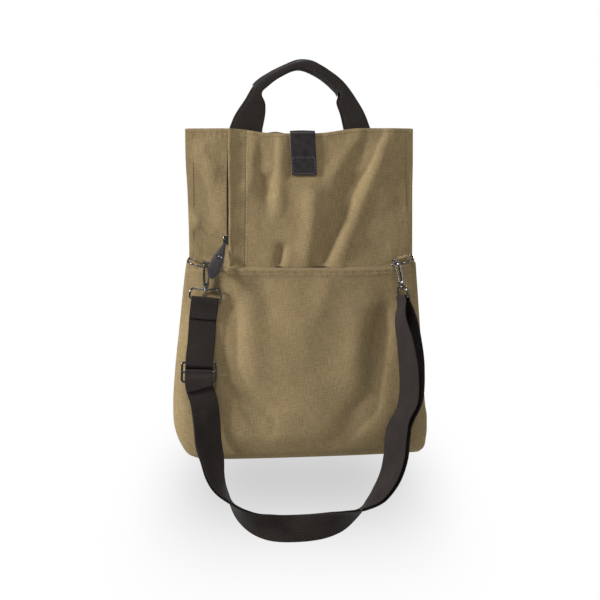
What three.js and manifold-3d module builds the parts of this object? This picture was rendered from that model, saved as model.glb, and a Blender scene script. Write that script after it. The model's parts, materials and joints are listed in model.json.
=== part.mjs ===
// Foldover canvas tote, held up by its two handles, with its shoulder strap hanging in front.
// Millimetres, +Z up, the pocket side faces -Y, and the origin is the underside of the handle crown.
import * as THREE from "three";
import { mergeVertices } from "three/addons/utils/BufferGeometryUtils.js";
import Module from "manifold-3d";

const wasm = await Module();
wasm.setup();

// Bag body: overall sizes.
const BAG_WIDTH = 351;
const BAG_HEIGHT = 456;
const BAG_DEPTH = 66;
const CLOTH = 2;
const MOUTH_TO_CROWN = 83.3;
const MOUTH_DIP = 7.5;
const POCKET_SAG = 9.5;
const FOLD_DEPTH = 5;
const FOLD_LINE = 0.5934;
const BOTTOM_TILT = 5.2;

// Pocket, placket and general clearance.
const GAP = 0.3;
const POCKET_CLOTH = 1.6;
const PLACKET_WIDTH = 22;
const PLACKET_CLOTH = 2;
const PLACKET_LIFT = 4.5;
const PLACKET_INSET = 90.7;
const PLACKET_LEAN = 0.11;
const PLACKET_START = 0.004;

// Webbing of the handles and of the shoulder strap.
const WEB_WIDTH = 38;
const WEB_CLOTH = 1.6;
const WEB_GAP = 0.5;

// Handles.
const HANDLE_SPAN = 194.6;
const HANDLE_RISE = 100;
const HANDLE_LEFT = -95.9;
const HANDLE_TAIL = 45;
const HANDLE_CROWN = 0.853;
const HANDLE_PAIR = 8.4;
const HANDLE_SHIFT = 4;
const LEG_GAP = 0.9;
const LEG_HEM = 3;
const LEG_BEND_START = 6;
const LEG_BEND_END = 60;
const GRIP_LENGTH = 130;
const GRIP_LEATHER = 1.5;

// Leather closure tab with its snap.
const TAB_WIDTH = 35;
const TAB_LEATHER = 2.2;
const TAB_FRONT = 57;
const TAB_BACK = 46;
const TAB_X = 3.2;
const TAB_HOVER = 3;
const TAB_CLEAR = 0.9;
const SNAP_RADIUS = 6;
const SNAP_HEIGHT = 3;
const SNAP_FROM_END = 11;

// Rings at the fold line.
const RING_WIDTH = 31;
const RING_SIDE = 15;
const RING_WIRE = 2.6;
const RING_CORNER = 2;
const RING_TILT = 15;
const RING_DROOP = 14;
const RING_STANDOFF = { left: 4.5, right: 6.5 };
const RING_INSET = 16.3;
const RING_HEIGHT = { left: 1.5, right: 5.5 };
const RING_TAB_WIDTH = 13;
const RING_TAB_CLOTH = 1.5;

// Swivel snap hooks.
const HOOK_LENGTH = 36;
const HOOK_WIDTH = 13;
const HOOK_THICK = 4.6;
const HOOK_ARM = 2.9;
const HOOK_BASE = 7;
const HOOK_BASE_WIDTH = 7;
const GATE_THICK = 1.6;
const GATE_BLADE = 1.7;
const GATE_SLACK = 0.3;
const GATE_LAP = 1;
const GATE_EYE = 1.75;
const NOSE_GAP = 2;
const HOOK_NECK = 2;
const HOOK_THROAT = 3;
const HOOK_SHOULDER = 5;
const PIN_RADIUS = 0.7;
const STUD_RADIUS = 1.3;
const STUD_HEAD = 2.3;
const STUD_HEAD_THICK = 1.2;
const CROWN_GAP = 0.9;
const HOOK_ALONG_RING = { left: 10.5, right: 22 };
const HOOK_LEAN = { left: 5, right: -16 };

// Wire loops that the strap goes round.
const LOOP_SLACK = 1.2;
const LOOP_HEIGHT = 17;
const LOOP_WIRE = 2.8;
const LOOP_CORNER = 6;
const LOOP_TURN = { left: 0, right: 76 };
const BOSS_RADIUS = 3.2;
const BOSS_HEIGHT = 4.4;

// Slider on the left leg of the strap.
const SLIDER_WIDTH = 50;
const SLIDER_HEIGHT = 30;
const SLIDER_RAIL = 3.4;
const SLIDER_THICK = 1.8;
const SLIDER_AT = 102;

// Shoulder strap.
const STRAP_DROP = 317;
const STRAP_FORWARD = 42;
const STRAP_TAIL = 28;
const STRAP_END = 24;
const STRAP_STEP = 11;
const WEAVE_GAP = 0.8;
const SLIDER_GAP = 0.6;
const SLOT_CLEAR = 1.2;
const RAIL_CLEAR = 1;
const WEAVE_RUN = 13;
const SEWN_START = 0.5;

// Zip pull.
const PULL_LENGTH = 58;
const PULL_WIDTH = 19;
const PULL_LEATHER = 2.2;
const PULL_LEAN = 21;
const PULL_HEIGHT = 32;
const PULL_FORWARD = 24.5;
const PULL_TIP = 1.6;
const PULL_FROM_EDGE = 2;
const PULL_DROP = 6;
const RIVET_RADIUS = 3.8;
const RIVET_HEIGHT = 1.8;
const RIVET_FROM_TIP = 24;
const SLIDER_BLOCK = { across: 8, deep: 2, tall: 13, below: 2 };

const COLORS = {
  canvas: { color: 0x9c8763, roughness: 0.95, metalness: 0 },
  webbing: { color: 0x332c2a, roughness: 0.9, metalness: 0 },
  leather: { color: 0x3a3538, roughness: 0.55, metalness: 0 },
  metal: { color: 0x4a4a4e, roughness: 0.3, metalness: 1 },
};

// Sections of the bag from the floor up. rise is a share of BAG_HEIGHT; left and right are shares of
// half of BAG_WIDTH, front and back of half of BAG_DEPTH. flat and edge shape the section between
// the seams, tilt tips a row towards the right, and steps is how many mesh rows lead to the next one.
const bodyRows = [
  { rise: 0, left: 0.8, right: 0.95, front: 0.66, back: 0.66, flat: 3.4, edge: 0.5, tilt: 1, steps: 1 },
  { rise: 0.012, left: 0.89, right: 0.985, front: 0.84, back: 0.84, flat: 3.3, edge: 0.5, tilt: 0.95, steps: 1 },
  { rise: 0.032, left: 0.935, right: 1, front: 0.94, back: 0.94, flat: 3.2, edge: 0.5, tilt: 0.8, steps: 1 },
  { rise: 0.069, left: 0.974, right: 1, front: 1, back: 1, flat: 3.1, edge: 0.52, tilt: 0.5, steps: 1 },
  { rise: 0.115, left: 1, right: 1, front: 1, back: 1, flat: 3, edge: 0.55, tilt: 0.2, steps: 1 },
  { rise: 0.161, left: 1.003, right: 0.985, front: 0.98, back: 1, flat: 2.9, edge: 0.57, tilt: 0, steps: 2 },
  { rise: 0.247, left: 0.991, right: 0.971, front: 0.9, back: 0.95, flat: 2.8, edge: 0.6, tilt: 0, steps: 2 },
  { rise: 0.4, left: 0.952, right: 0.945, front: 0.72, back: 0.8, flat: 2.6, edge: 0.66, tilt: 0, steps: 2 },
  { rise: 0.5535, left: 0.913, right: 0.92, front: 0.52, back: 0.62, flat: 2.4, edge: 0.74, tilt: 0, steps: 1 },
  { rise: 0.5934, left: 0.899, right: 0.913, front: 0.48, back: 0.56, flat: 2.3, edge: 0.78, tilt: 0, steps: 1 },
  { rise: 0.615, left: 0.885, right: 0.893, front: 0.44, back: 0.52, flat: 2.3, edge: 0.8, tilt: 0, steps: 3 },
  { rise: 0.808, left: 0.898, right: 0.893, front: 0.34, back: 0.36, flat: 2.2, edge: 0.8, tilt: 0, steps: 2 },
  { rise: 0.91, left: 0.913, right: 0.897, front: 0.3, back: 0.3, flat: 2.2, edge: 0.8, tilt: 0, steps: 2 },
  { rise: 1, left: 0.917, right: 0.897, front: 0.3, back: 0.3, flat: 2.2, edge: 0.8, tilt: 0, steps: 1 },
];

// Folds of the front, each a soft trough or ridge along a line. Places across are shares of half of
// BAG_WIDTH, rises and spreads are shares of BAG_HEIGHT and depths are shares of FOLD_DEPTH, where a
// minus sign is a ridge.
const frontFolds = [
  { fromX: -0.31, fromRise: 0.9, toX: -0.28, toRise: 0.78, spread: 0.03, depth: 0.45 },
  { fromX: -0.18, fromRise: 0.95, toX: -0.19, toRise: 0.76, spread: 0.03, depth: -0.25 },
  { fromX: 0.46, fromRise: 0.92, toX: 0.16, toRise: 0.61, spread: 0.034, depth: 0.6 },
  { fromX: 0.13, fromRise: 0.79, toX: 0.12, toRise: 0.61, spread: 0.026, depth: -0.35 },
  { fromX: 0.64, fromRise: 0.94, toX: 0.66, toRise: 0.78, spread: 0.036, depth: -0.45 },
  { fromX: -0.74, fromRise: 0.68, toX: -0.62, toRise: 0.63, spread: 0.03, depth: 0.4 },
  { fromX: -0.55, fromRise: 0.47, toX: -0.34, toRise: 0.13, spread: 0.04, depth: 0.35 },
  { fromX: 0.7, fromRise: 0.49, toX: 0.4, toRise: 0.13, spread: 0.045, depth: 0.4 },
  { fromX: -0.1, fromRise: 0.35, toX: 0.12, toRise: 0.12, spread: 0.07, depth: -0.3 },
];

// Folds of the back, in the same columns.
const backFolds = [
  { fromX: -0.45, fromRise: 0.93, toX: -0.15, toRise: 0.6, spread: 0.036, depth: 0.5 },
  { fromX: 0.4, fromRise: 0.95, toX: 0.5, toRise: 0.66, spread: 0.034, depth: 0.4 },
  { fromX: -0.3, fromRise: 0.45, toX: 0.3, toRise: 0.2, spread: 0.06, depth: 0.35 },
];

// Outline of a handle from its left leg to its right leg. x is a share of HANDLE_SPAN, z a share of
// HANDLE_RISE above the mouth, and plies is the thickness in layers of webbing.
const handleRows = [
  { outerX: 0.0, outerZ: 0.0, innerX: 0.221, innerZ: 0.0, plies: 1 },
  { outerX: 0.043, outerZ: 0.201, innerX: 0.244, innerZ: 0.252, plies: 1 },
  { outerX: 0.112, outerZ: 0.406, innerX: 0.242, innerZ: 0.392, plies: 1.4 },
  { outerX: 0.19, outerZ: 0.645, innerX: 0.223, innerZ: 0.517, plies: 2.2 },
  { outerX: 0.29, outerZ: 0.783, innerX: 0.29, innerZ: 0.648, plies: 2.2 },
  { outerX: 0.389, outerZ: 0.88, innerX: 0.381, innerZ: 0.769, plies: 2.2 },
  { outerX: 0.496, outerZ: 0.958, innerX: 0.496, innerZ: HANDLE_CROWN, plies: 2.2 },
  { outerX: 0.6, outerZ: 0.945, innerX: 0.622, innerZ: 0.759, plies: 2.2 },
  { outerX: 0.703, outerZ: 0.834, innerX: 0.726, innerZ: 0.601, plies: 2.2 },
  { outerX: 0.806, outerZ: 0.671, innerX: 0.777, innerZ: 0.49, plies: 2.2 },
  { outerX: 0.909, outerZ: 0.392, innerX: 0.771, innerZ: 0.378, plies: 1.4 },
  { outerX: 0.957, outerZ: 0.224, innerX: 0.8, innerZ: 0.201, plies: 1 },
  { outerX: 1.0, outerZ: 0.0, innerX: 0.823, innerZ: 0.0, plies: 1 },
];

// Centre line of the strap from the left loop to the right one. across is a share of the distance
// between the two loops, drop a share of STRAP_DROP below the left loop, forward a share of
// STRAP_FORWARD in front of the loops, roll turns the band about its length in degrees, and spread
// is how far the two layers part, in thicknesses.
const strapRows = [
  { across: 0.0, drop: 0.0, forward: 0, roll: 0, spread: 0 },
  { across: -0.011, drop: 0.084, forward: 0.05, roll: 0, spread: 0 },
  { across: -0.018, drop: 0.185, forward: 0.17, roll: 0, spread: 0 },
  { across: -0.027, drop: 0.274, forward: 0.34, roll: 0, spread: 0 },
  { across: -0.026, drop: 0.37, forward: 0.45, roll: 0, spread: 0 },
  { across: 0.0, drop: 0.45, forward: 0.5, roll: 8, spread: 0.1 },
  { across: 0.013, drop: 0.538, forward: 0.55, roll: 20, spread: 0.2 },
  { across: 0.022, drop: 0.626, forward: 0.56, roll: 25, spread: 0.4 },
  { across: 0.04, drop: 0.693, forward: 0.58, roll: 40, spread: 0.6 },
  { across: 0.054, drop: 0.759, forward: 0.56, roll: 54, spread: 0.6 },
  { across: 0.077, drop: 0.812, forward: 0.5, roll: 68, spread: 0.5 },
  { across: 0.122, drop: 0.869, forward: 0.42, roll: 90, spread: 0.3 },
  { across: 0.186, drop: 0.935, forward: 0.34, roll: 122, spread: 0.2 },
  { across: 0.262, drop: 0.979, forward: 0.26, roll: 148, spread: 0.1 },
  { across: 0.349, drop: 0.998, forward: 0.2, roll: 172, spread: 0.1 },
  { across: 0.45, drop: 1.0, forward: 0.18, roll: 180, spread: 0.1 },
  { across: 0.582, drop: 0.989, forward: 0.18, roll: 166, spread: 0.2 },
  { across: 0.669, drop: 0.968, forward: 0.2, roll: 146, spread: 0.3 },
  { across: 0.74, drop: 0.937, forward: 0.24, roll: 118, spread: 0.4 },
  { across: 0.807, drop: 0.9, forward: 0.3, roll: 90, spread: 0.6 },
  { across: 0.878, drop: 0.847, forward: 0.33, roll: 64, spread: 0.9 },
  { across: 0.934, drop: 0.768, forward: 0.35, roll: 52, spread: 1.4 },
  { across: 0.962, drop: 0.679, forward: 0.35, roll: 44, spread: 1.8 },
  { across: 0.969, drop: 0.609, forward: 0.34, roll: 42, spread: 1.9 },
  { across: 0.98, drop: 0.56, forward: 0.32, roll: 46, spread: 1.8 },
  { across: 1.005, drop: 0.507, forward: 0.36, roll: 58, spread: 1.7 },
  { across: 1.036, drop: 0.432, forward: 0.36, roll: 49, spread: 2.2 },
  { across: 1.041, drop: 0.304, forward: 0.31, roll: 50, spread: 3.0 },
  { across: 1.028, drop: 0.185, forward: 0.24, roll: 58, spread: 3.8 },
  { across: 1.01, drop: 0.084, forward: 0.12, roll: 70, spread: 4.0 },
  { across: 1.0, drop: 0.0, forward: 0, roll: 76, spread: 0 },
];

// Values that follow from the driving dimensions.
const MOUTH_Z = -MOUTH_TO_CROWN;
const FLOOR_Z = MOUTH_Z - BAG_HEIGHT;
const HALF_WIDTH = BAG_WIDTH / 2;
const HALF_DEPTH = BAG_DEPTH / 2;
const PLACKET_SEAM = -1 + PLACKET_INSET / HALF_WIDTH;
const SEAM_COLUMN = 0.01;
const COLUMNS = 24;
const HANDLE_BASE_Z = -HANDLE_CROWN * HANDLE_RISE;

const radians = THREE.MathUtils.degToRad;
const lerp = THREE.MathUtils.lerp;
const clamp = THREE.MathUtils.clamp;
const vec = (x, y, z) => new THREE.Vector3(x, y, z);

// A closed body gathered from rings of points, strips between them and end caps.
class Body {
  constructor() {
    this.points = [];
    this.faces = [];
  }

  ring(points) {
    const first = this.points.length;
    this.points.push(...points);
    return points.map((_, k) => first + k);
  }

  strip(a, b, closed, flipped = false) {
    const last = closed ? a.length : a.length - 1;
    for (let k = 0; k < last; k++) {
      const next = (k + 1) % a.length;
      const pair = [[a[k], a[next], b[next]], [a[k], b[next], b[k]]];
      this.faces.push(...(flipped ? pair.map((face) => face.reverse()) : pair));
    }
  }

  cap(ring, flipped) {
    const middle = vec(0, 0, 0);
    ring.forEach((k) => middle.addScaledVector(this.points[k], 1 / ring.length));
    const [hub] = this.ring([middle]);
    ring.forEach((k, i) => {
      const next = ring[(i + 1) % ring.length];
      this.faces.push(flipped ? [hub, next, k] : [hub, k, next]);
    });
  }

  volume() {
    const sixth = ([a, b, c]) => {
      const cross = this.points[b].clone().cross(this.points[c]);
      return this.points[a].dot(cross) / 6;
    };
    return this.faces.reduce((sum, face) => sum + sixth(face), 0);
  }

  geometry() {
    const order = this.volume() < 0 ? [0, 2, 1] : [0, 1, 2];
    const flat = this.faces.flatMap((face) => order.map((k) => this.points[face[k]]));
    const shape = new THREE.BufferGeometry().setFromPoints(flat);
    shape.computeVertexNormals();
    return shape;
  }
}

// A tube through rings of points, capped at both ends or closed on itself.
function loft(rings, closed = false) {
  const body = new Body();
  const made = rings.map((ring) => body.ring(ring));
  made.slice(1).forEach((ring, k) => body.strip(made[k], ring, true));
  if (closed) {
    body.strip(made[made.length - 1], made[0], true);
  } else {
    body.cap(made[0], true);
    body.cap(made[made.length - 1], false);
  }
  return body.geometry();
}

// A sheet with thickness between two grids of points.
function sheet(outer, inner) {
  const body = new Body();
  const outerRows = outer.map((row) => body.ring(row));
  const innerRows = inner.map((row) => body.ring(row));
  for (let r = 1; r < outer.length; r++) {
    body.strip(outerRows[r - 1], outerRows[r], false);
    body.strip(innerRows[r - 1], innerRows[r], false, true);
  }
  const top = outer.length - 1;
  const side = (rows, end) => rows.map((row) => row[end]);
  const far = outer[0].length - 1;
  body.strip(innerRows[0], outerRows[0], false);
  body.strip(outerRows[top], innerRows[top], false);
  body.strip(side(outerRows, 0), side(innerRows, 0), false);
  body.strip(side(innerRows, far), side(outerRows, far), false);
  return body.geometry();
}

// A round wire along a flat closed path, whose plane has the given normal.
function wireRing(path, normal, radius, sides) {
  const rings = path.map((point, k) => {
    const ahead = path[(k + 1) % path.length];
    const behind = path[(k + path.length - 1) % path.length];
    const along = ahead.clone().sub(behind).normalize();
    const out = along.clone().cross(normal).normalize();
    return circle(point, out, normal, radius, sides);
  });
  return loft(rings, true);
}

// Points round a circle spanned by two directions.
function circle(centre, a, b, radius, sides) {
  return Array.from({ length: sides }, (_, k) => {
    const turn = (2 * Math.PI * (k + 0.5)) / sides;
    const point = centre.clone().addScaledVector(a, radius * Math.cos(turn));
    return point.addScaledVector(b, radius * Math.sin(turn));
  });
}

// A cylinder between two points.
function rod(from, to, radius, sides) {
  const along = to.clone().sub(from).normalize();
  const helper = Math.abs(along.z) > 0.9 ? vec(1, 0, 0) : vec(0, 0, 1);
  const a = along.clone().cross(helper).normalize();
  const b = along.clone().cross(a);
  return loft([circle(from, a, b, radius, sides), circle(to, a, b, radius, sides)]);
}

// A box between two corners.
function block(low, high) {
  const size = high.clone().sub(low);
  const middle = low.clone().add(high).multiplyScalar(0.5);
  return new THREE.BoxGeometry(size.x, size.y, size.z).translate(middle.x, middle.y, middle.z);
}

// Booleans on closed geometries.
function toSolid(geometry) {
  const bare = geometry.index ? geometry.toNonIndexed() : geometry.clone();
  bare.deleteAttribute("normal");
  bare.deleteAttribute("uv");
  const merged = mergeVertices(bare, 1e-4);
  const vertProperties = Float32Array.from(merged.attributes.position.array);
  const triVerts = Uint32Array.from(merged.index.array);
  return new wasm.Manifold(new wasm.Mesh({ numProp: 3, vertProperties, triVerts }));
}

function fromSolid(solid) {
  const mesh = solid.getMesh();
  const shape = new THREE.BufferGeometry();
  const positions = [];
  for (let k = 0; k < mesh.numVert; k++) {
    positions.push(...mesh.vertProperties.slice(k * mesh.numProp, k * mesh.numProp + 3));
  }
  shape.setAttribute("position", new THREE.Float32BufferAttribute(positions, 3));
  shape.setIndex(Array.from(mesh.triVerts));
  const flat = shape.toNonIndexed();
  flat.computeVertexNormals();
  return flat;
}

const union = (...shapes) => fromSolid(shapes.map(toSolid).reduce((a, b) => a.add(b)));
const cut = (base, ...tools) =>
  fromSolid(tools.map(toSolid).reduce((a, b) => a.subtract(b), toSolid(base)));

// The bag's surface.

// Blends the rows of a table at a rise from the floor, with straight lines between rows.
function rowAt(rows, rise) {
  const upper = rows.findIndex((row) => row.rise >= rise);
  if (upper <= 0) return upper === 0 ? rows[0] : rows[rows.length - 1];
  const a = rows[upper - 1];
  const b = rows[upper];
  const share = (rise - a.rise) / (b.rise - a.rise);
  return Object.fromEntries(Object.keys(a).map((key) => [key, lerp(a[key], b[key], share)]));
}

// A bump that is 1 on a line and falls off within a spread on both sides and past the ends.
function foldHeight(fold, x, z) {
  const a = new THREE.Vector2(fold.fromX * HALF_WIDTH, FLOOR_Z + fold.fromRise * BAG_HEIGHT);
  const b = new THREE.Vector2(fold.toX * HALF_WIDTH, FLOOR_Z + fold.toRise * BAG_HEIGHT);
  const run = b.clone().sub(a);
  const here = new THREE.Vector2(x, z).sub(a);
  const share = clamp(here.dot(run) / run.lengthSq(), 0, 1);
  const away = here.sub(run.multiplyScalar(share)).length() / (fold.spread * BAG_HEIGHT);
  return fold.depth * FOLD_DEPTH * Math.exp(-away * away);
}

// Fades from 0 to 1 between two rises.
const fade = (rise, from, to) => THREE.MathUtils.smoothstep(rise, from, to);

// The point of the bag's cloth at u across, from -1 at the left seam to 1 at the right one, and at a
// rise from the floor. side is -1 on the front and 1 on the back, and depthIn goes into the cloth.
function bagPoint(u, rise, side, depthIn = 0) {
  const row = rowAt(bodyRows, rise);
  const halfSpan = ((row.left + row.right) / 2) * HALF_WIDTH;
  const centre = ((row.right - row.left) / 2) * HALF_WIDTH;
  const depth = (side < 0 ? row.front : row.back) * HALF_DEPTH;
  const thin = Math.min(row.front, row.back) * HALF_DEPTH;
  const edgeShare = Math.pow(clamp(depthIn / thin, 0, 1), 1 / row.edge);
  const inset = Math.pow(1 - edgeShare, 1 / row.flat);
  const across = u * inset;
  const onLeft = across < PLACKET_SEAM;
  const hat = onLeft ? (across + 1) / (PLACKET_SEAM + 1) : (1 - across) / (1 - PLACKET_SEAM);
  const lean = PLACKET_LEAN * clamp(rise - (1 + FOLD_LINE) / 2, (FOLD_LINE - 1) / 2, 1) * hat;
  const x = centre + halfSpan * (across + lean);
  const mouthDip = MOUTH_DIP * Math.exp(-Math.pow((across + 0.05) / 0.42, 4)) * fade(rise, FOLD_LINE, 1);
  const nearFold = fade(rise, 0.2, FOLD_LINE) * (1 - fade(rise, FOLD_LINE, 0.85));
  const sag = POCKET_SAG * (1 - Math.pow(Math.abs(across), 6)) * nearFold;
  const z = FLOOR_Z + rise * BAG_HEIGHT - mouthDip - sag + BOTTOM_TILT * row.tilt * across;
  const bulge = Math.pow(Math.max(0, 1 - Math.pow(Math.abs(across), row.flat)), row.edge);
  const folds = side < 0 ? frontFolds : backFolds;
  const crease = folds.reduce((sum, fold) => sum + foldHeight(fold, x, z), 0);
  const calm = Math.min(1, (1 - across * across) * 4);
  const step = side < 0 ? placketStep(across) * fade(rise, FOLD_LINE, FOLD_LINE + 0.03) : 0;
  const reach = depth * bulge - depthIn * Math.sign(1 - Math.abs(u)) - crease * calm - step * calm;
  return vec(x, side * Math.max(0, reach), z);
}

// How far the left panel lies behind the right one, where the placket covers it.
function placketStep(across) {
  const share = clamp((PLACKET_SEAM + SEAM_COLUMN - across) / (2 * SEAM_COLUMN), 0, 1);
  return share * (PLACKET_CLOTH + GAP);
}

// The columns across the bag: closer near the seams, with two on the step under the placket.
const columns = Array.from({ length: COLUMNS + 1 }, (_, k) => {
  const even = -1 + (2 * k) / COLUMNS;
  return 0.4 * even + 0.6 * Math.sin((even * Math.PI) / 2);
});
columns.splice(1, 0, -0.995);
columns.splice(columns.length - 1, 0, 0.995);
const nearSeam = columns.filter((u) => Math.abs(u - PLACKET_SEAM) > 3 * SEAM_COLUMN);
nearSeam.push(PLACKET_SEAM - SEAM_COLUMN, PLACKET_SEAM + SEAM_COLUMN);
const bagColumns = nearSeam.sort((a, b) => a - b);

const bagRises = bodyRows.slice(0, -1).flatMap((row, k) => {
  const next = bodyRows[k + 1];
  return Array.from({ length: row.steps }, (_, s) => lerp(row.rise, next.rise, s / row.steps));
});
bagRises.push(1);

// One ring round the bag at a rise: the front from left to right, then the back from right to left.
function bagRing(rise, depthIn, lift = 0) {
  const front = bagColumns.map((u) => bagPoint(u, rise, -1, depthIn));
  const back = bagColumns.slice(1, -1).reverse().map((u) => bagPoint(u, rise, 1, depthIn));
  return [...front, ...back].map((point) => point.add(vec(0, 0, lift)));
}

function bagBody() {
  const body = new Body();
  const outer = bagRises.map((rise) => body.ring(bagRing(rise, 0)));
  const inner = bagRises.map((rise) => body.ring(bagRing(rise, CLOTH, rise === 0 ? CLOTH : 0)));
  const top = outer.length - 1;
  for (let r = 1; r <= top; r++) {
    body.strip(outer[r - 1], outer[r], true);
    body.strip(inner[r - 1], inner[r], true, true);
  }
  body.strip(outer[top], inner[top], true);
  body.cap(outer[0], true);
  body.cap(inner[0], false);
  return body.geometry();
}

// A point of the front at some distance out from the cloth.
function offFront(u, rise, out) {
  const here = bagPoint(u, rise, -1);
  const small = 0.002;
  const left = bagPoint(clamp(u - small, -1, 1), rise, -1);
  const right = bagPoint(clamp(u + small, -1, 1), rise, -1);
  const along = right.sub(left).setZ(0).normalize();
  return here.addScaledVector(vec(along.y, -along.x, 0), out);
}

function frontPocket() {
  const rises = bagRises.filter((rise) => rise >= bodyRows[2].rise && rise <= FOLD_LINE + 1e-6);
  const across = bagColumns.slice(1, -1);
  const face = (out) => rises.map((rise) => across.map((u) => offFront(u, rise, out)));
  return sheet(face(GAP + POCKET_CLOTH), face(GAP));
}

// Where the placket starts and ends across the bag.
const placketSeam = PLACKET_SEAM - 2 * SEAM_COLUMN;
const placketEdge = placketSeam - PLACKET_WIDTH / HALF_WIDTH / bodyRows[bodyRows.length - 1].right;

function placket() {
  const rises = bagRises.filter((rise) => rise > FOLD_LINE + 1e-6);
  rises.unshift(FOLD_LINE + PLACKET_START);
  const shares = [0, 0.35, 0.7, 1];
  const face = (out) =>
    rises.map((rise) =>
      shares.map((share) => {
        const point = bagPoint(lerp(placketSeam, placketEdge, share), rise, -1);
        point.y -= out + PLACKET_LIFT * share * share + GAP;
        return point;
      }),
    );
  return sheet(face(PLACKET_CLOTH), face(0));
}

// The rise and the place across whose cloth point has the given x and z.
function findOnBag(x, z, side, depthIn) {
  let rise = (z - FLOOR_Z) / BAG_HEIGHT;
  let u = x / HALF_WIDTH;
  for (let k = 0; k < 12; k++) {
    const here = bagPoint(u, clamp(rise, 0, 1), side, depthIn);
    rise += (z - here.z) / BAG_HEIGHT;
    u = clamp(u + (x - here.x) / HALF_WIDTH, -0.98, 0.98);
  }
  return { u, rise: clamp(rise, 0, 1) };
}

// The depth of the bag's cloth behind or in front of a place, on its inside or outside.
function clothY(x, z, side, depthIn) {
  const { u, rise } = findOnBag(x, z, side, depthIn);
  return bagPoint(u, rise, side, depthIn).y;
}

// Handles.

const curveOf = (points) => new THREE.CatmullRomCurve3(points);
const handleCurves = {
  outer: curveOf(handleRows.map((row) => vec(row.outerX * HANDLE_SPAN, 0, row.outerZ * HANDLE_RISE))),
  inner: curveOf(handleRows.map((row) => vec(row.innerX * HANDLE_SPAN, 0, row.innerZ * HANDLE_RISE))),
  plies: curveOf(handleRows.map((row) => vec(row.plies, 0, 0))),
};

// One cross-section of a handle: its outer and inner edge points, middle depth and half thickness.
function handleSection(t, side) {
  const shift = side < 0 ? vec(HANDLE_LEFT, 0, 0) : vec(HANDLE_LEFT - HANDLE_SHIFT, 0, GRIP_LEATHER + GAP);
  const place = shift.add(vec(0, 0, HANDLE_BASE_Z));
  const inside = clamp(t, 0, 1);
  const outer = handleCurves.outer.getPoint(inside).add(place);
  const inner = handleCurves.inner.getPoint(inside).add(place);
  const half = (handleCurves.plies.getPoint(inside).x * WEB_CLOTH) / 2;
  const beyond = t < 0 ? -t : Math.max(0, t - 1);
  outer.z -= beyond * HANDLE_TAIL;
  inner.z -= beyond * HANDLE_TAIL;
  const walls = [0, 0.25, 0.5, 0.75, 1].map((share) => {
    const point = outer.clone().lerp(inner, share);
    return clothY(point.x, Math.min(point.z, MOUTH_Z - MOUTH_DIP - LEG_HEM), side, CLOTH);
  });
  const wall = side < 0 ? Math.max(...walls) : Math.min(...walls);
  const up = fade((outer.z + inner.z) / 2, MOUTH_Z + LEG_BEND_START, MOUTH_Z + LEG_BEND_END);
  const y = lerp(wall - side * (LEG_GAP + half), (side * HANDLE_PAIR) / 2, up);
  outer.y = y;
  inner.y = y;
  return { outer, inner, half };
}

// The four corners of a handle's section, grown by a margin all round.
function handleCorners({ outer, inner, half }, margin) {
  const out = outer.clone().sub(inner).normalize().multiplyScalar(margin);
  const thick = vec(0, half + margin, 0);
  const a = outer.clone().add(out);
  const b = inner.clone().sub(out);
  return [a.clone().sub(thick), b.clone().sub(thick), b.clone().add(thick), a.clone().add(thick)];
}

const handleSteps = Array.from({ length: 33 }, (_, k) => k / 32);

function handle(side) {
  const tails = [1, 0.75, 0.5, 0.25];
  const along = [...tails.map((t) => -t), ...handleSteps, ...tails.reverse().map((t) => 1 + t)];
  return loft(along.map((t) => handleCorners(handleSection(t, side), 0)));
}

// A leather sleeve round the back handle's grip.
function handleGrip() {
  const fine = Array.from({ length: 201 }, (_, k) => k / 200);
  const middles = fine.map((t) => {
    const { outer, inner } = handleSection(t, 1);
    return outer.add(inner).multiplyScalar(0.5);
  });
  const crown = fine.length >> 1;
  const walk = (way) => {
    let k = crown;
    let gone = 0;
    while (gone < GRIP_LENGTH / 2) {
      gone += middles[k].distanceTo(middles[k + way]);
      k += way;
    }
    return fine[k];
  };
  const from = walk(-1);
  const to = walk(1);
  const half = 0.5 / (handleSteps.length - 1);
  const along = handleSteps.filter((t) => t > from - half && t < to + half);
  const body = new Body();
  const tube = (margin) => along.map((t) => body.ring(handleCorners(handleSection(t, 1), margin)));
  const outside = tube(GAP + GRIP_LEATHER);
  const inside = tube(GAP);
  const last = along.length - 1;
  for (let k = 1; k <= last; k++) {
    body.strip(outside[k - 1], outside[k], true);
    body.strip(inside[k - 1], inside[k], true, true);
  }
  body.strip(inside[0], outside[0], true);
  body.strip(outside[last], inside[last], true);
  return body.geometry();
}

// Closure tab.

// The tab's path over the mouth: up the front, across above both edges and down the back.
function tabPath() {
  const out = TAB_CLEAR + TAB_LEATHER / 2;
  const edgeZ = MOUTH_Z - MOUTH_DIP;
  const topZ = edgeZ + TAB_HOVER;
  const down = (side, length, steps) =>
    Array.from({ length: steps }, (_, k) => {
      const z = edgeZ - (length * (k + 0.4)) / (steps - 0.6);
      const across = [-0.5, 0, 0.5].map((share) => clothY(TAB_X + share * TAB_WIDTH, z, side, 0));
      const y = side < 0 ? Math.min(...across) : Math.max(...across);
      return vec(TAB_X, y + side * out, z);
    });
  const front = down(-1, TAB_FRONT, 6);
  const back = down(1, TAB_BACK, 5);
  const shoulder = Math.min(Math.abs(front[0].y), Math.abs(back[0].y));
  const over = [-1, -0.8, 0.8, 1].map((share) => {
    const high = Math.abs(share) < 1 ? topZ : topZ - TAB_HOVER * 0.6;
    return vec(TAB_X, share * shoulder, high);
  });
  return [...front.reverse(), ...over, ...back];
}

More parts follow.
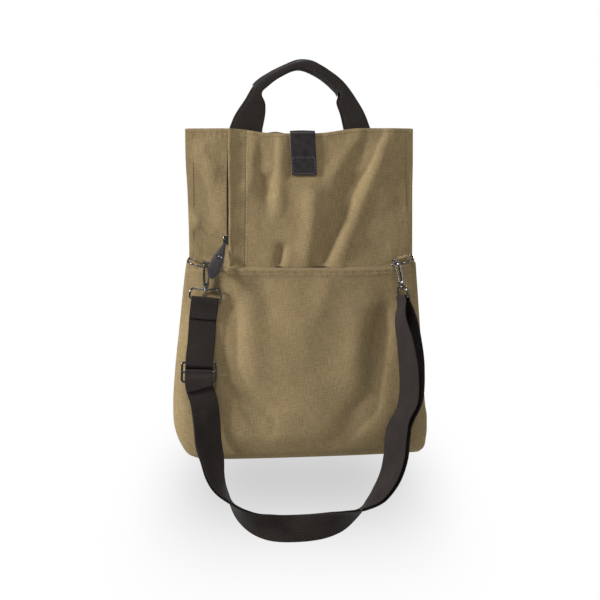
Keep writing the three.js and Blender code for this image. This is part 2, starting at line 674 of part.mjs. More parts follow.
function closureTab(path) {
  const rings = path.map((point, k) => {
    const ahead = path[Math.min(k + 1, path.length - 1)];
    const behind = path[Math.max(k - 1, 0)];
    const along = ahead.clone().sub(behind).normalize();
    const out = vec(1, 0, 0).cross(along);
    const corner = (a, b) =>
      point.clone().add(vec((a * TAB_WIDTH) / 2, 0, 0)).addScaledVector(out, (b * TAB_LEATHER) / 2);
    return [corner(-1, -1), corner(1, -1), corner(1, 1), corner(-1, 1)];
  });
  return loft(rings);
}

// The snap's cap on the tab's free end, behind the bag.
function tabSnap(path) {
  const end = path[path.length - 1];
  const before = path[path.length - 2];
  const up = before.clone().sub(end).normalize();
  const out = vec(1, 0, 0).cross(up).negate();
  const place = end.clone().addScaledVector(up, SNAP_FROM_END);
  place.addScaledVector(out, TAB_LEATHER / 2 + GAP);
  const matrix = new THREE.Matrix4().makeBasis(vec(-1, 0, 0), up, out).setPosition(place);
  return dome(SNAP_RADIUS, SNAP_HEIGHT).applyMatrix4(matrix);
}

// A low dome with its flat side on a plane, whose axis points along +Z before it is placed.
function dome(radius, height) {
  const rings = [
    [1, 0],
    [1, 0.35],
    [0.72, 0.8],
    [0.36, 1],
  ];
  const a = vec(1, 0, 0);
  const b = vec(0, 1, 0);
  return loft(rings.map(([r, h]) => circle(vec(0, 0, h * height), a, b, r * radius, 14)));
}

// Rings, hooks and loops.

const sideWord = (side) => (side < 0 ? "left" : "right");

// The frame of a ring: its bar's middle, the way along the bar to the bag's middle, and forward.
function ringFrame(side) {
  const word = sideWord(side);
  const rise = FOLD_LINE + RING_HEIGHT[word] / BAG_HEIGHT;
  const row = rowAt(bodyRows, rise);
  const seam = side * (side < 0 ? row.left : row.right) * HALF_WIDTH;
  const x = seam - side * RING_INSET;
  const z = FLOOR_Z + rise * BAG_HEIGHT;
  const y = clothY(x, z, -1, 0) - RING_STANDOFF[word] - RING_WIRE / 2;
  const tilt = radians(RING_TILT);
  const droop = radians(RING_DROOP);
  const inward = vec(-side * Math.cos(tilt), 0, -Math.sin(tilt));
  const forward = vec(0, -Math.cos(droop), -Math.sin(droop));
  const flat = forward.addScaledVector(inward, -forward.dot(inward)).normalize();
  return { bar: vec(x, y, z), inward, forward: flat, normal: inward.clone().cross(flat) };
}

// A D ring: a straight bar, two sides and a half circle at the front.
function ring(side) {
  const { bar, inward, forward, normal } = ringFrame(side);
  const radius = (RING_WIDTH - RING_WIRE) / 2;
  const at = (a, b) => bar.clone().addScaledVector(inward, a).addScaledVector(forward, b);
  const arc = Array.from({ length: 11 }, (_, k) => {
    const turn = (Math.PI * k) / 10;
    return at(radius * Math.cos(turn), RING_SIDE + radius * Math.sin(turn));
  });
  const path = [
    ...arc,
    at(-radius, RING_CORNER),
    at(-radius * 0.97, RING_CORNER * 0.3),
    at(-radius + RING_CORNER, 0),
    at(radius - RING_CORNER, 0),
    at(radius * 0.97, RING_CORNER * 0.3),
    at(radius, RING_CORNER),
  ];
  return wireRing(path, normal, RING_WIRE / 2, 8);
}

// A cloth tab folded round the ring's bar, with its ends against the bag.
function ringTab(side) {
  const { bar, inward } = ringFrame(side);
  const inner = RING_WIRE / 2 + GAP;
  const outer = inner + RING_TAB_CLOTH;
  const near = [-0.5, 0, 0.5].flatMap((share) => {
    const along = share * RING_TAB_WIDTH;
    const z = bar.z + along * inward.z;
    return [-outer, 0, outer].map((up) => clothY(bar.x + along * inward.x, z + up, -1, 0));
  });
  const back = Math.min(...near) - bar.y - GAP;
  const sectionPoints = (across) => {
    const turns = Array.from({ length: 9 }, (_, k) => Math.PI / 2 + (Math.PI * k) / 8);
    const bend = (radius) => turns.map((turn) => [radius * Math.cos(turn), radius * Math.sin(turn)]);
    const outline = [[back, outer], ...bend(outer), [back, -outer], [back, -inner]];
    outline.push(...bend(inner).reverse(), [back, inner]);
    return outline.map(([y, z]) => bar.clone().addScaledVector(inward, across).add(vec(0, y, z)));
  };
  const body = new Body();
  const ends = [-0.5, 0, 0.5].map((share) => body.ring(sectionPoints(share * RING_TAB_WIDTH)));
  body.strip(ends[0], ends[1], true);
  body.strip(ends[1], ends[2], true);
  ringTabCap(body, ends[0], true);
  ringTabCap(body, ends[2], false);
  return body.geometry();
}

// Closes an end of the folded tab: its outline goes out round the bend and back inside it.
function ringTabCap(body, ends, flipped) {
  const half = ends.length / 2;
  for (let k = 0; k < half - 1; k++) {
    const quad = [ends[k], ends[k + 1], ends[ends.length - 2 - k], ends[ends.length - 1 - k]];
    const [a, b, c, d] = flipped ? quad.reverse() : quad;
    body.faces.push([a, b, c], [a, c, d]);
  }
}

// Where a hook hangs: the ring's wire in its crown, its up direction and the way across it.
function hookFrame(side) {
  const { bar, inward, forward } = ringFrame(side);
  const word = sideWord(side);
  const radius = (RING_WIDTH - RING_WIRE) / 2;
  const past = Math.max(0, HOOK_ALONG_RING[word] - RING_SIDE);
  const width = Math.sqrt(radius * radius - past * past);
  const wire = bar.clone().addScaledVector(inward, width).addScaledVector(forward, HOOK_ALONG_RING[word]);
  const lean = radians(HOOK_LEAN[word]);
  const up = vec(Math.sin(lean), 0, Math.cos(lean));
  const turn = side * Math.asin(past / radius);
  const across = vec(Math.cos(lean), 0, -Math.sin(lean)).multiplyScalar(-side).applyAxisAngle(up, turn);
  const rest = HOOK_LENGTH - HOOK_ARM - RING_WIRE / 2 - CROWN_GAP;
  const base = wire.clone().addScaledVector(up, -rest);
  return { base, up, across };
}

// Places a shape drawn with x across, y up and z forward at a hook's base.
function placeAtHook(shape, side) {
  const { base, up, across } = hookFrame(side);
  const forward = across.clone().cross(up);
  const matrix = new THREE.Matrix4().makeBasis(across, up, forward).setPosition(base);
  return shape.applyMatrix4(matrix);
}

const crownCentre = HOOK_LENGTH - HOOK_WIDTH / 2;
const pivot = { x: HOOK_BASE_WIDTH / 2 - GATE_EYE + GATE_SLACK, y: HOOK_BASE - GATE_EYE };
const noseEnd = crownCentre - NOSE_GAP;

// The hook: a base, one thick arm and a crown that ends in a nose, with a slot and pin for the gate
// and a stud below that turns in the loop's boss.
function hook() {
  const wide = HOOK_WIDTH / 2;
  const base = HOOK_BASE_WIDTH / 2;
  const hollow = wide - HOOK_ARM;
  const outline = new THREE.Shape();
  outline.moveTo(-base * 0.6, 0);
  outline.lineTo(base * 0.6, 0);
  outline.lineTo(base, HOOK_NECK);
  outline.lineTo(base, HOOK_BASE);
  outline.lineTo(pivot.x - GATE_BLADE / 2, HOOK_BASE);
  outline.quadraticCurveTo(-hollow * 0.2, HOOK_BASE + HOOK_THROAT, -hollow, crownCentre - HOOK_SHOULDER);
  outline.lineTo(-hollow, crownCentre);
  outline.absarc(0, crownCentre, hollow, Math.PI, 0, true);
  outline.lineTo(hollow, noseEnd);
  outline.lineTo(wide, noseEnd);
  outline.lineTo(wide, crownCentre);
  outline.absarc(0, crownCentre, wide, 0, Math.PI, false);
  outline.lineTo(-wide * 0.98, crownCentre - HOOK_SHOULDER);
  outline.lineTo(-base, HOOK_BASE - 1);
  outline.lineTo(-base, HOOK_NECK);
  const plate = new THREE.ExtrudeGeometry(outline, {
    depth: HOOK_THICK,
    bevelEnabled: false,
    curveSegments: 8,
  }).translate(0, 0, -HOOK_THICK / 2);
  const slotHalf = GATE_THICK / 2 + GATE_SLACK;
  const room = GATE_EYE + 2 * GATE_SLACK;
  const slot = block(
    vec(pivot.x - room, pivot.y - room, -slotHalf),
    vec(wide, HOOK_BASE + 1, slotHalf),
  );
  const open = cut(plate, slot);
  const pinHalf = (HOOK_THICK + GATE_THICK) / 4 + GATE_SLACK;
  const pin = rod(vec(pivot.x, pivot.y, -pinHalf), vec(pivot.x, pivot.y, pinHalf), PIN_RADIUS, 8);
  const stemEnd = -(BOSS_HEIGHT + 2 * GAP);
  const stem = rod(vec(0, 0.5, 0), vec(0, stemEnd - 0.3, 0), STUD_RADIUS, 10);
  const head = rod(vec(0, stemEnd, 0), vec(0, stemEnd - STUD_HEAD_THICK, 0), STUD_HEAD, 12);
  return union(open, pin, stem, head);
}

// The gate: a blade from an eye on the hook's pin to the inside of the nose.
function gate() {
  const reach = noseEnd - pivot.y + GATE_LAP;
  const tipX = HOOK_WIDTH / 2 - HOOK_ARM - GATE_SLACK - GATE_BLADE / 2 - pivot.x;
  const lean = Math.atan2(tipX, reach);
  const half = GATE_BLADE / 2;
  const outline = new THREE.Shape();
  outline.absarc(0, 0, GATE_EYE, Math.PI - 0.5, 0.5 + 2 * Math.PI, false);
  outline.lineTo(half, GATE_EYE + 1);
  outline.lineTo(half, reach);
  outline.lineTo(-half, reach);
  outline.lineTo(-half, GATE_EYE + 1);
  const hole = new THREE.Path();
  hole.absarc(0, 0, PIN_RADIUS + GATE_SLACK, 0, 2 * Math.PI, true);
  outline.holes.push(hole);
  const blade = new THREE.ExtrudeGeometry(outline, {
    depth: GATE_THICK,
    bevelEnabled: false,
    curveSegments: 6,
  });
  return blade.translate(0, 0, -GATE_THICK / 2).rotateZ(-lean).translate(pivot.x, pivot.y, 0);
}

// The loop's own frame: down from the hook's base, with its wide way turned on the right side.
function loopFrame(side) {
  const { base, up } = hookFrame(side);
  const top = base.clone().addScaledVector(up, -GAP - BOSS_HEIGHT / 2);
  const down = vec(0, 0, -1).lerp(up.clone().negate(), side < 0 ? 1 : 0.4).normalize();
  const wide = vec(side < 0 ? 1 : -1, 0, 0).applyAxisAngle(down, radians(LOOP_TURN[sideWord(side)]));
  wide.addScaledVector(down, -wide.dot(down)).normalize();
  const bar = top.clone().addScaledVector(down, LOOP_HEIGHT - LOOP_WIRE);
  return { top, down, wide, bar, normal: wide.clone().cross(down), up };
}

// A wire loop with round corners and a boss at its top that the hook's stud turns in.
function strapLoop(side) {
  const { top, down, wide, normal, up } = loopFrame(side);
  const halfWide = WEB_WIDTH / 2 + LOOP_SLACK + LOOP_WIRE / 2;
  const tall = LOOP_HEIGHT - LOOP_WIRE;
  const corners = [
    { a: halfWide - LOOP_CORNER, b: LOOP_CORNER, from: -90 },
    { a: halfWide - LOOP_CORNER / 2, b: tall - LOOP_CORNER / 2, from: 0, small: true },
    { a: -halfWide + LOOP_CORNER / 2, b: tall - LOOP_CORNER / 2, from: 90, small: true },
    { a: -halfWide + LOOP_CORNER, b: LOOP_CORNER, from: 180 },
  ];
  const path = corners.flatMap(({ a, b, from, small }) => {
    const radius = small ? LOOP_CORNER / 2 : LOOP_CORNER;
    return Array.from({ length: 5 }, (_, k) => {
      const turn = radians(from + (90 * k) / 4);
      const point = top.clone().addScaledVector(wide, a + radius * Math.cos(turn));
      return point.addScaledVector(down, b + radius * Math.sin(turn));
    });
  });
  const wire = wireRing(path, normal, LOOP_WIRE / 2, 8);
  const end = (way) => top.clone().addScaledVector(up, (way * BOSS_HEIGHT) / 2);
  const boss = rod(end(-1), end(1), BOSS_RADIUS, 12);
  const past = (way) => top.clone().addScaledVector(up, way * BOSS_HEIGHT);
  const hole = rod(past(-1), past(1), STUD_RADIUS + GAP, 12);
  return cut(union(wire, boss), hole);
}

// Shoulder strap.

const loops = { left: loopFrame(-1), right: loopFrame(1) };
const strapStart = loops.left.bar;
const strapEnd = loops.right.bar;

// The strap's centre line, with its roll and the parting of its layers beside it.
const strapPoints = strapRows.map((row, k) => {
  const end = k > strapRows.length / 2 ? strapEnd : strapStart;
  const drop = STRAP_DROP + end.z - strapStart.z;
  const x = lerp(strapStart.x, strapEnd.x, row.across);
  const y = lerp(strapStart.y, strapEnd.y, clamp(row.across, 0, 1)) - row.forward * STRAP_FORWARD;
  return vec(x, y, end.z - row.drop * drop);
});
const strapCurve = curveOf(strapPoints);
strapCurve.arcLengthDivisions = 800;
const strapLength = strapCurve.getLength();
const strapTwist = curveOf(strapRows.map((row) => vec(row.roll, row.spread, 0)));

// The strap at a length from the left loop: its centre, the ways along it, across the band and out
// of its back face, and how far its layers part.
function strapFrame(length) {
  const t = strapCurve.getUtoTmapping(clamp(length / strapLength, 0, 1));
  const point = strapCurve.getPoint(t);
  const along = strapCurve.getTangent(t);
  const values = strapTwist.getPoint(t);
  const flat = along.clone().cross(vec(0, 1, 0)).normalize();
  const deep = flat.clone().cross(along).normalize();
  const roll = radians(values.x);
  const wide = flat.clone().multiplyScalar(Math.cos(roll)).addScaledVector(deep, Math.sin(roll));
  const out = flat.multiplyScalar(-Math.sin(roll)).addScaledVector(deep, Math.cos(roll));
  return { point, along, wide, out, spread: values.y * WEB_CLOTH };
}

const sliderFrame = strapFrame(SLIDER_AT);
const layerOut = (WEB_CLOTH + WEB_GAP) / 2;
const layerStep = WEB_CLOTH + WEAVE_GAP;
const overBar = SLIDER_THICK / 2 + SLIDER_GAP + WEB_CLOTH / 2;
const sliderOut = layerOut + overBar;
const loopBend = LOOP_WIRE / 2 + 2 * GAP + WEB_CLOTH / 2;
const slotEnd = SLIDER_HEIGHT / 2 - SLIDER_RAIL - SLOT_CLEAR;
const railEnd = SLIDER_HEIGHT / 2 + RAIL_CLEAR;
const weaveEnd = SLIDER_HEIGHT / 2 + WEAVE_RUN;

// How far a layer lies from the centre line near the slider: behind its bar, in front of its rails
// and back to its usual place beyond them.
function weave(past, overTheBar, atRail, beyond) {
  const away = Math.abs(past);
  const barEnd = SLIDER_RAIL / 2 + GAP;
  if (away < barEnd) return overTheBar;
  if (away < slotEnd) return lerp(overTheBar, atRail, (away - barEnd) / (slotEnd - barEnd));
  return lerp(atRail, beyond, fade(away, railEnd, weaveEnd + RAIL_CLEAR));
}

// How far a layer lies out from the centre line along the strap, close round both loops.
function usualOffset(length, spread) {
  const near = Math.min(length, strapLength - length);
  return lerp(loopBend, layerOut + spread, fade(near, 0, LOOP_HEIGHT));
}

function mainOffset(length, spread) {
  const overTheBar = sliderOut + overBar + layerStep;
  return weave(length - SLIDER_AT, overTheBar, layerOut, usualOffset(length, spread));
}

function returnOffset(length, spread) {
  return weave(length - SLIDER_AT, sliderOut + overBar, layerOut - layerStep, -usualOffset(length, spread));
}

function sewnEndOffset(length) {
  const behind = layerOut - 2 * layerStep - GAP;
  return lerp(sliderOut - overBar, behind, fade(length - SLIDER_AT, SLIDER_RAIL / 2, slotEnd));
}

// One cross-section of the strap's band.
function bandSection(point, wide, out) {
  const corner = (a, b) =>
    point.clone().addScaledVector(wide, (a * WEB_WIDTH) / 2).addScaledVector(out, (b * WEB_CLOTH) / 2);
  return [corner(1, -1), corner(-1, -1), corner(-1, 1), corner(1, 1)];
}

// Sections along the strap at an offset from its centre line. facing is 1 where the band's outer
// face looks out of the strap's back and -1 where it looks out of its front.
function bandAlong(lengths, offsetOf, facing) {
  const placed = lengths.map((length) => {
    const frame = strapFrame(length);
    const offset = offsetOf(length, frame.spread);
    return { frame, point: frame.point.clone().addScaledVector(frame.out, offset) };
  });
  return placed.map(({ frame, point }, k) => {
    const ahead = placed[Math.min(k + 1, placed.length - 1)].point;
    const behind = placed[Math.max(k - 1, 0)].point;
    const along = ahead.clone().sub(behind).normalize();
    const out = frame.wide.clone().cross(along).normalize();
    return bandSection(point, frame.wide, out.multiplyScalar(Math.sign(out.dot(frame.out)) * facing));
  });
}

// Half a turn round a bar, from one way out of it over its far side to the other.
function bend(centre, wide, from, over, radius, bulge, facing) {
  return [0.1, 0.3, 0.5, 0.7, 0.9].map((share) => {
    const turn = share * Math.PI;
    const out = from.clone().multiplyScalar(Math.cos(turn)).addScaledVector(over, Math.sin(turn));
    const reach = radius + bulge * Math.sin(turn);
    const point = centre.clone().addScaledVector(out, reach);
    return bandSection(point, wide, out.clone().multiplyScalar(facing));
  });
}

// The whole strap: a sewn end in front of the left loop, round its bar and down behind it, over the
// slider's rails and behind its bar, along to the right loop and round its bar, and back in front of
// itself to the slider's bar, where it is sewn.
function shoulderStrap() {
  const start = strapFrame(0);
  const end = strapFrame(strapLength);
  const backward = (way) => way.clone().negate();
  const bendShares = [0.12, 0.36, 0.65];
  const nearLoop = [...bendShares, 1].map((share) => share * LOOP_HEIGHT);
  nearLoop.push(STRAP_TAIL);
  const run = [...nearLoop];
  for (let s = STRAP_TAIL + STRAP_STEP; s < SLIDER_AT - weaveEnd; s += STRAP_STEP) run.push(s);
  const inSlot = [0, 0.38, 0.73, 1].map((share) => lerp(SLIDER_RAIL / 2, slotEnd, share));
  const pastRail = [0.28, 0.6, 1].map((share) => lerp(slotEnd, weaveEnd, share));
  const oneSide = [...inSlot, ...pastRail];
  const weavePlaces = [...oneSide.map((past) => -past).reverse(), ...oneSide];
  run.push(...weavePlaces.map((past) => SLIDER_AT + past));
  const rest = strapLength - LOOP_HEIGHT - (SLIDER_AT + weaveEnd);
  const steps = Math.round(rest / STRAP_STEP);
  for (let k = 1; k <= steps; k++) run.push(SLIDER_AT + weaveEnd + (rest * k) / steps);
  run.push(...bendShares.reverse().map((share) => strapLength - share * LOOP_HEIGHT));
  const sewnTail = [...nearLoop].reverse();
  const backRun = run.filter((length) => length > SLIDER_AT).reverse();
  const sewnPlaces = [SLIDER_RAIL / 2 + SEWN_START, ...inSlot.slice(1), STRAP_END];
  const sewnEnd = sewnPlaces.map((past) => SLIDER_AT + past);
  const slider = sliderFrame.point.clone().addScaledVector(sliderFrame.out, sliderOut);
  const barBulge = (SLIDER_RAIL - SLIDER_THICK) / 2;
  const rings = [
    ...bandAlong(sewnTail, (length) => -usualOffset(length, 0), -1),
    ...bend(loops.left.bar, loops.left.wide, backward(start.out), backward(start.along), loopBend, 0, 1),
    ...bandAlong(run, mainOffset, 1),
    ...bend(loops.right.bar, loops.right.wide, end.out, end.along, loopBend, 0, 1),
    ...bandAlong(backRun, returnOffset, -1),
    ...bend(slider, sliderFrame.wide, sliderFrame.out, backward(sliderFrame.along), overBar, barBulge, -1),
    ...bandAlong(sewnEnd, sewnEndOffset, 1),
  ];
  return loft(rings);
}

// The slider: a flat frame with two slots and a bar between them.
function strapSlider() {
  const { point, along, wide, out } = sliderFrame;
  const w = SLIDER_WIDTH / 2;
  const h = SLIDER_HEIGHT / 2;
  const t = SLIDER_THICK / 2;
  const plate = block(vec(-w, -h, -t), vec(w, h, t));
  const slotWide = w - SLIDER_RAIL;
  const slot = (low, high) => block(vec(-slotWide, low, -2 * t), vec(slotWide, high, 2 * t));
  const half = SLIDER_RAIL / 2;
  const frame = cut(plate, slot(half, h - SLIDER_RAIL), slot(-h + SLIDER_RAIL, -half));
  const up = along.clone().negate();
  const matrix = new THREE.Matrix4().makeBasis(wide, up, wide.clone().cross(up));
  matrix.setPosition(point.clone().addScaledVector(out, sliderOut));
  return frame.applyMatrix4(matrix);
}

// Zip pull.

const pullTip = (() => {
  const rise = FOLD_LINE + PULL_HEIGHT / BAG_HEIGHT;
  const z = FLOOR_Z + rise * BAG_HEIGHT;
  const edge = bagPoint(placketEdge, rise, -1);
  const forward = SLIDER_BLOCK.deep + 4 * GAP + PULL_LEATHER / 2;
  return vec(edge.x - PULL_FROM_EDGE, edge.y - forward, z - PULL_DROP);
})();

// The leather pull: a drop shape, wide and round below, with a small hole near its tip.
function zipPull() {
  const half = PULL_WIDTH / 2;
  const outline = new THREE.Shape();
  outline.moveTo(-PULL_TIP, 0);
  outline.lineTo(PULL_TIP, 0);
  outline.quadraticCurveTo(half * 0.62, -PULL_LENGTH * 0.36, half, -PULL_LENGTH * 0.7);
  outline.quadraticCurveTo(half, -PULL_LENGTH, 0, -PULL_LENGTH);
  outline.quadraticCurveTo(-half, -PULL_LENGTH, -half, -PULL_LENGTH * 0.7);
  outline.quadraticCurveTo(-half * 0.62, -PULL_LENGTH * 0.36, -PULL_TIP, 0);
  const leather = new THREE.ExtrudeGeometry(outline, {
    depth: PULL_LEATHER,
    bevelEnabled: false,
    curveSegments: 6,
  });
  return placePull(leather.translate(0, 0, -PULL_LEATHER / 2));
}

// Places a shape drawn hanging down from the pull's tip, with z forward.
function placePull(shape) {
  const lean = radians(PULL_LEAN);
  const side = vec(-Math.sin(lean), 0, -Math.cos(lean));
  const forward = Math.asin(PULL_FORWARD / PULL_LENGTH);
  const down = side.multiplyScalar(Math.cos(forward)).add(vec(0, -Math.sin(forward), 0));
  const up = down.negate();
  const across = vec(Math.cos(lean), 0, -Math.sin(lean));
  const matrix = new THREE.Matrix4().makeBasis(across, up, across.clone().cross(up));
  return shape.applyMatrix4(matrix.setPosition(pullTip));
}

function pullRivet() {
  const cap = dome(RIVET_RADIUS, RIVET_HEIGHT);
  return placePull(cap.translate(0, -RIVET_FROM_TIP, PULL_LEATHER / 2 + GAP));
}

// The zip's slider under the placket's free edge, with the eye that the pull hangs from.
function zipSlider() {
  const { across, deep, tall, below } = SLIDER_BLOCK;
  const corners = [-0.5, 0, 0.5].flatMap((share) =>
    [-below, tall / 2, tall - below].map((up) => clothY(pullTip.x + share * across, pullTip.z + up, -1, 0)),
  );
  const cloth = Math.min(...corners) - GAP;
  const low = vec(pullTip.x - across / 2, cloth - deep, pullTip.z - below);
  const high = vec(pullTip.x + across / 2, cloth, pullTip.z - below + tall);
  return block(low, high);
}

// The object.

const group = new THREE.Group();

function addPiece(name, shape, finish) {
  const mesh = new THREE.Mesh(shape, new THREE.MeshStandardMaterial(COLORS[finish]));
  mesh.name = name;
  group.add(mesh);
}

const path = tabPath();

addPiece("bag_body", bagBody(), "canvas");
addPiece("front_pocket", frontPocket(), "canvas");
addPiece("placket", placket(), "canvas");
addPiece("closure_tab", closureTab(path), "leather");
addPiece("tab_snap", tabSnap(path), "metal");
addPiece("handle_front", handle(-1), "webbing");
addPiece("handle_back", handle(1), "webbing");
addPiece("handle_grip", handleGrip(), "leather");
addPiece("zip_slider", zipSlider(), "metal");
addPiece("zip_pull", zipPull(), "leather");
addPiece("zip_pull_rivet", pullRivet(), "metal");
for (const [word, side] of [["left", -1], ["right", 1]]) {
  addPiece("ring_" + word, ring(side), "metal");
  addPiece("ring_tab_" + word, ringTab(side), "canvas");
  addPiece("hook_" + word, placeAtHook(hook(), side), "metal");
  addPiece("gate_" + word, placeAtHook(gate(), side), "metal");
  addPiece("strap_loop_" + word, strapLoop(side), "metal");
}
addPiece("strap_slider", strapSlider(), "metal");
addPiece("shoulder_strap", shoulderStrap(), "webbing");

export default group;
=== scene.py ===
"""Foldover canvas tote held up by its two handles: the looks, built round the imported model.

The shape functions work in millimetres and Blender gets metres. +Z is up, the pocket side faces -Y
and the origin is the underside of the handles' crown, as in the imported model.
"""

import json
import logging
import math
from dataclasses import dataclass, field
from enum import Enum
from typing import Callable, Sequence

import bpy
import numpy as np
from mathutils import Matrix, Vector

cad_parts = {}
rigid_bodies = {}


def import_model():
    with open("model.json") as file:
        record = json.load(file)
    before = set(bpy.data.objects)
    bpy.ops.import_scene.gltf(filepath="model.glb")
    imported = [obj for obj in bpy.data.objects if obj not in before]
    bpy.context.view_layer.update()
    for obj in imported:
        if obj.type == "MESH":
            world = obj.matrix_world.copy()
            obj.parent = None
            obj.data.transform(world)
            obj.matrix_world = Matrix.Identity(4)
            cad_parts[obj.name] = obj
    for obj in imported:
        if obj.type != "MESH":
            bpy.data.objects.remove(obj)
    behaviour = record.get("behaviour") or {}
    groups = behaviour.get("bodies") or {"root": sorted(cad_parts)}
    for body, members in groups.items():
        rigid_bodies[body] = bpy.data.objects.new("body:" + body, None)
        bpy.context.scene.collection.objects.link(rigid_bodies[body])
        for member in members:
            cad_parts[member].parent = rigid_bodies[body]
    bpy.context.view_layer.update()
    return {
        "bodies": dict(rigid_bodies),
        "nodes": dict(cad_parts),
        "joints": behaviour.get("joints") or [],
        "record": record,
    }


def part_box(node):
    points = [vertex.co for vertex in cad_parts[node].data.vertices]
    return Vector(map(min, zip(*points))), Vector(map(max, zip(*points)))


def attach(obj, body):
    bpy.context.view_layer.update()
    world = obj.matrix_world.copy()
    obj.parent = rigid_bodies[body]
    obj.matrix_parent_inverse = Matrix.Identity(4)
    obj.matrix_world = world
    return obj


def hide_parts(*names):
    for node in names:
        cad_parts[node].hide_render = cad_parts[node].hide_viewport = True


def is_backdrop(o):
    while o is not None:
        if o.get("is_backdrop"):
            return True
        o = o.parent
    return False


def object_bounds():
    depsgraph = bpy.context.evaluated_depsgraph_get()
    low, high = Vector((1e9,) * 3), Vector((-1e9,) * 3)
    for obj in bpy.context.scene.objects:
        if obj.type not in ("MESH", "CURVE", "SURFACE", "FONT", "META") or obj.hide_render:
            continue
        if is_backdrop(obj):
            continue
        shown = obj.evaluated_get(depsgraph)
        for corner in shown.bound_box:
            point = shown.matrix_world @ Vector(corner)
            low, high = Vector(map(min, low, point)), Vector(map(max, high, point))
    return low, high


LOG = logging.getLogger("tote")
MM = 0.001
SEED = 11
Array = np.ndarray
Finish = bpy.types.Material
Socket = bpy.types.NodeSocket


class Side(Enum):
    """The two sides of the bag, with the sign of X and the word in the node names."""

    LEFT = (-1, "left")
    RIGHT = (1, "right")

    @property
    def sign(self) -> int:
        """The sign of X on this side."""
        return self.value[0]

    @property
    def word(self) -> str:
        """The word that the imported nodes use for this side."""
        return self.value[1]


class Wall(Enum):
    """The front or back wall of the bag, with the sign of Y."""

    FRONT = -1
    BACK = 1


# The bag: overall sizes and the tables of its sections and folds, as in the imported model.

BAG_WIDTH = 351.0
BAG_HEIGHT = 456.0
BAG_DEPTH = 66.0
CLOTH = 2.0
POCKET_CLOTH = 1.6
GAP = 0.3
MOUTH_Z = -83.3
MOUTH_DIP = 7.5
MOUTH_DIP_AT = -0.05
MOUTH_DIP_SPREAD = 0.42
POCKET_SAG = 9.5
FOLD_DEPTH = 5.0
FOLD_LINE = 0.5934
BOTTOM_TILT = 5.2
PLACKET_INSET = 90.7
PLACKET_LEAN = 0.11
PLACKET_WIDTH = 22.0
PLACKET_CLOTH = 2.0
PLACKET_LIFT = 4.5
SEAM_COLUMN = 0.01
FLOOR_Z = MOUTH_Z - BAG_HEIGHT
HALF_WIDTH = BAG_WIDTH / 2
PLACKET_SEAM = -1 + PLACKET_INSET / HALF_WIDTH
HALF_DEPTH = BAG_DEPTH / 2

# Columns: rise, left, right, front, back, flat, edge and tilt.
BODY_ROWS = np.array([
    (0.0, 0.8, 0.95, 0.66, 0.66, 3.4, 0.5, 1.0),
    (0.012, 0.89, 0.985, 0.84, 0.84, 3.3, 0.5, 0.95),
    (0.032, 0.935, 1.0, 0.94, 0.94, 3.2, 0.5, 0.8),
    (0.069, 0.974, 1.0, 1.0, 1.0, 3.1, 0.52, 0.5),
    (0.115, 1.0, 1.0, 1.0, 1.0, 3.0, 0.55, 0.2),
    (0.161, 1.003, 0.985, 0.98, 1.0, 2.9, 0.57, 0.0),
    (0.247, 0.991, 0.971, 0.9, 0.95, 2.8, 0.6, 0.0),
    (0.4, 0.952, 0.945, 0.72, 0.8, 2.6, 0.66, 0.0),
    (0.5535, 0.913, 0.92, 0.52, 0.62, 2.4, 0.74, 0.0),
    (0.5934, 0.899, 0.913, 0.48, 0.56, 2.3, 0.78, 0.0),
    (0.615, 0.885, 0.893, 0.44, 0.52, 2.3, 0.8, 0.0),
    (0.808, 0.898, 0.893, 0.34, 0.36, 2.2, 0.8, 0.0),
    (0.91, 0.913, 0.897, 0.3, 0.3, 2.2, 0.8, 0.0),
    (1.0, 0.917, 0.897, 0.3, 0.3, 2.2, 0.8, 0.0),
])

# Each fold is a soft trough, or a ridge where its depth is negative, along a straight line.
# Columns: from x, from rise, to x, to rise, spread and depth.
FOLDS = {
    Wall.FRONT: np.array([
        (-0.31, 0.9, -0.28, 0.78, 0.03, 0.45),
        (-0.18, 0.95, -0.19, 0.76, 0.03, -0.25),
        (0.46, 0.92, 0.16, 0.61, 0.034, 0.6),
        (0.13, 0.79, 0.12, 0.61, 0.026, -0.35),
        (0.64, 0.94, 0.66, 0.78, 0.036, -0.45),
        (-0.74, 0.68, -0.62, 0.63, 0.03, 0.4),
        (-0.55, 0.47, -0.34, 0.13, 0.04, 0.35),
        (0.7, 0.49, 0.4, 0.13, 0.045, 0.4),
        (-0.1, 0.35, 0.12, 0.12, 0.07, -0.3),
    ]),
    Wall.BACK: np.array([
        (-0.45, 0.93, -0.15, 0.6, 0.036, 0.5),
        (0.4, 0.95, 0.5, 0.66, 0.034, 0.4),
        (-0.3, 0.45, 0.3, 0.2, 0.06, 0.35),
    ]),
}


def smooth_columns(knots: Array, values: Array, at: Array) -> Array:
    """Monotone cubic through the rows of a table.

    The slope at a knot is the harmonic mean of the slopes on its two sides, or 0 at a turn.

    Args:
        knots: rising places of the rows.
        values: one row of values for each knot.
        at: places to read, of any shape.

    Returns:
        Values with the shape of at and one more axis for the columns.
    """
    steps = np.diff(knots)[:, None]
    slopes = np.diff(values, axis=0) / steps
    product = slopes[:-1] * slopes[1:]
    total = slopes[:-1] + slopes[1:]
    inner = np.where(product > 0, 2 * product / np.where(total == 0, 1, total), 0)
    tangent = np.vstack([slopes[:1], inner, slopes[-1:]])
    k = np.clip(np.searchsorted(knots, at, side="right") - 1, 0, len(knots) - 2)
    h = steps[k, 0]
    t = np.clip((at - knots[k]) / h, 0, 1)[..., None]
    h = h[..., None]
    start = (1 + 2 * t) * (1 - t) ** 2 * values[k] + t * (1 - t) ** 2 * h * tangent[k]
    end = t * t * (3 - 2 * t) * values[k + 1] + t * t * (t - 1) * h * tangent[k + 1]
    return start + end


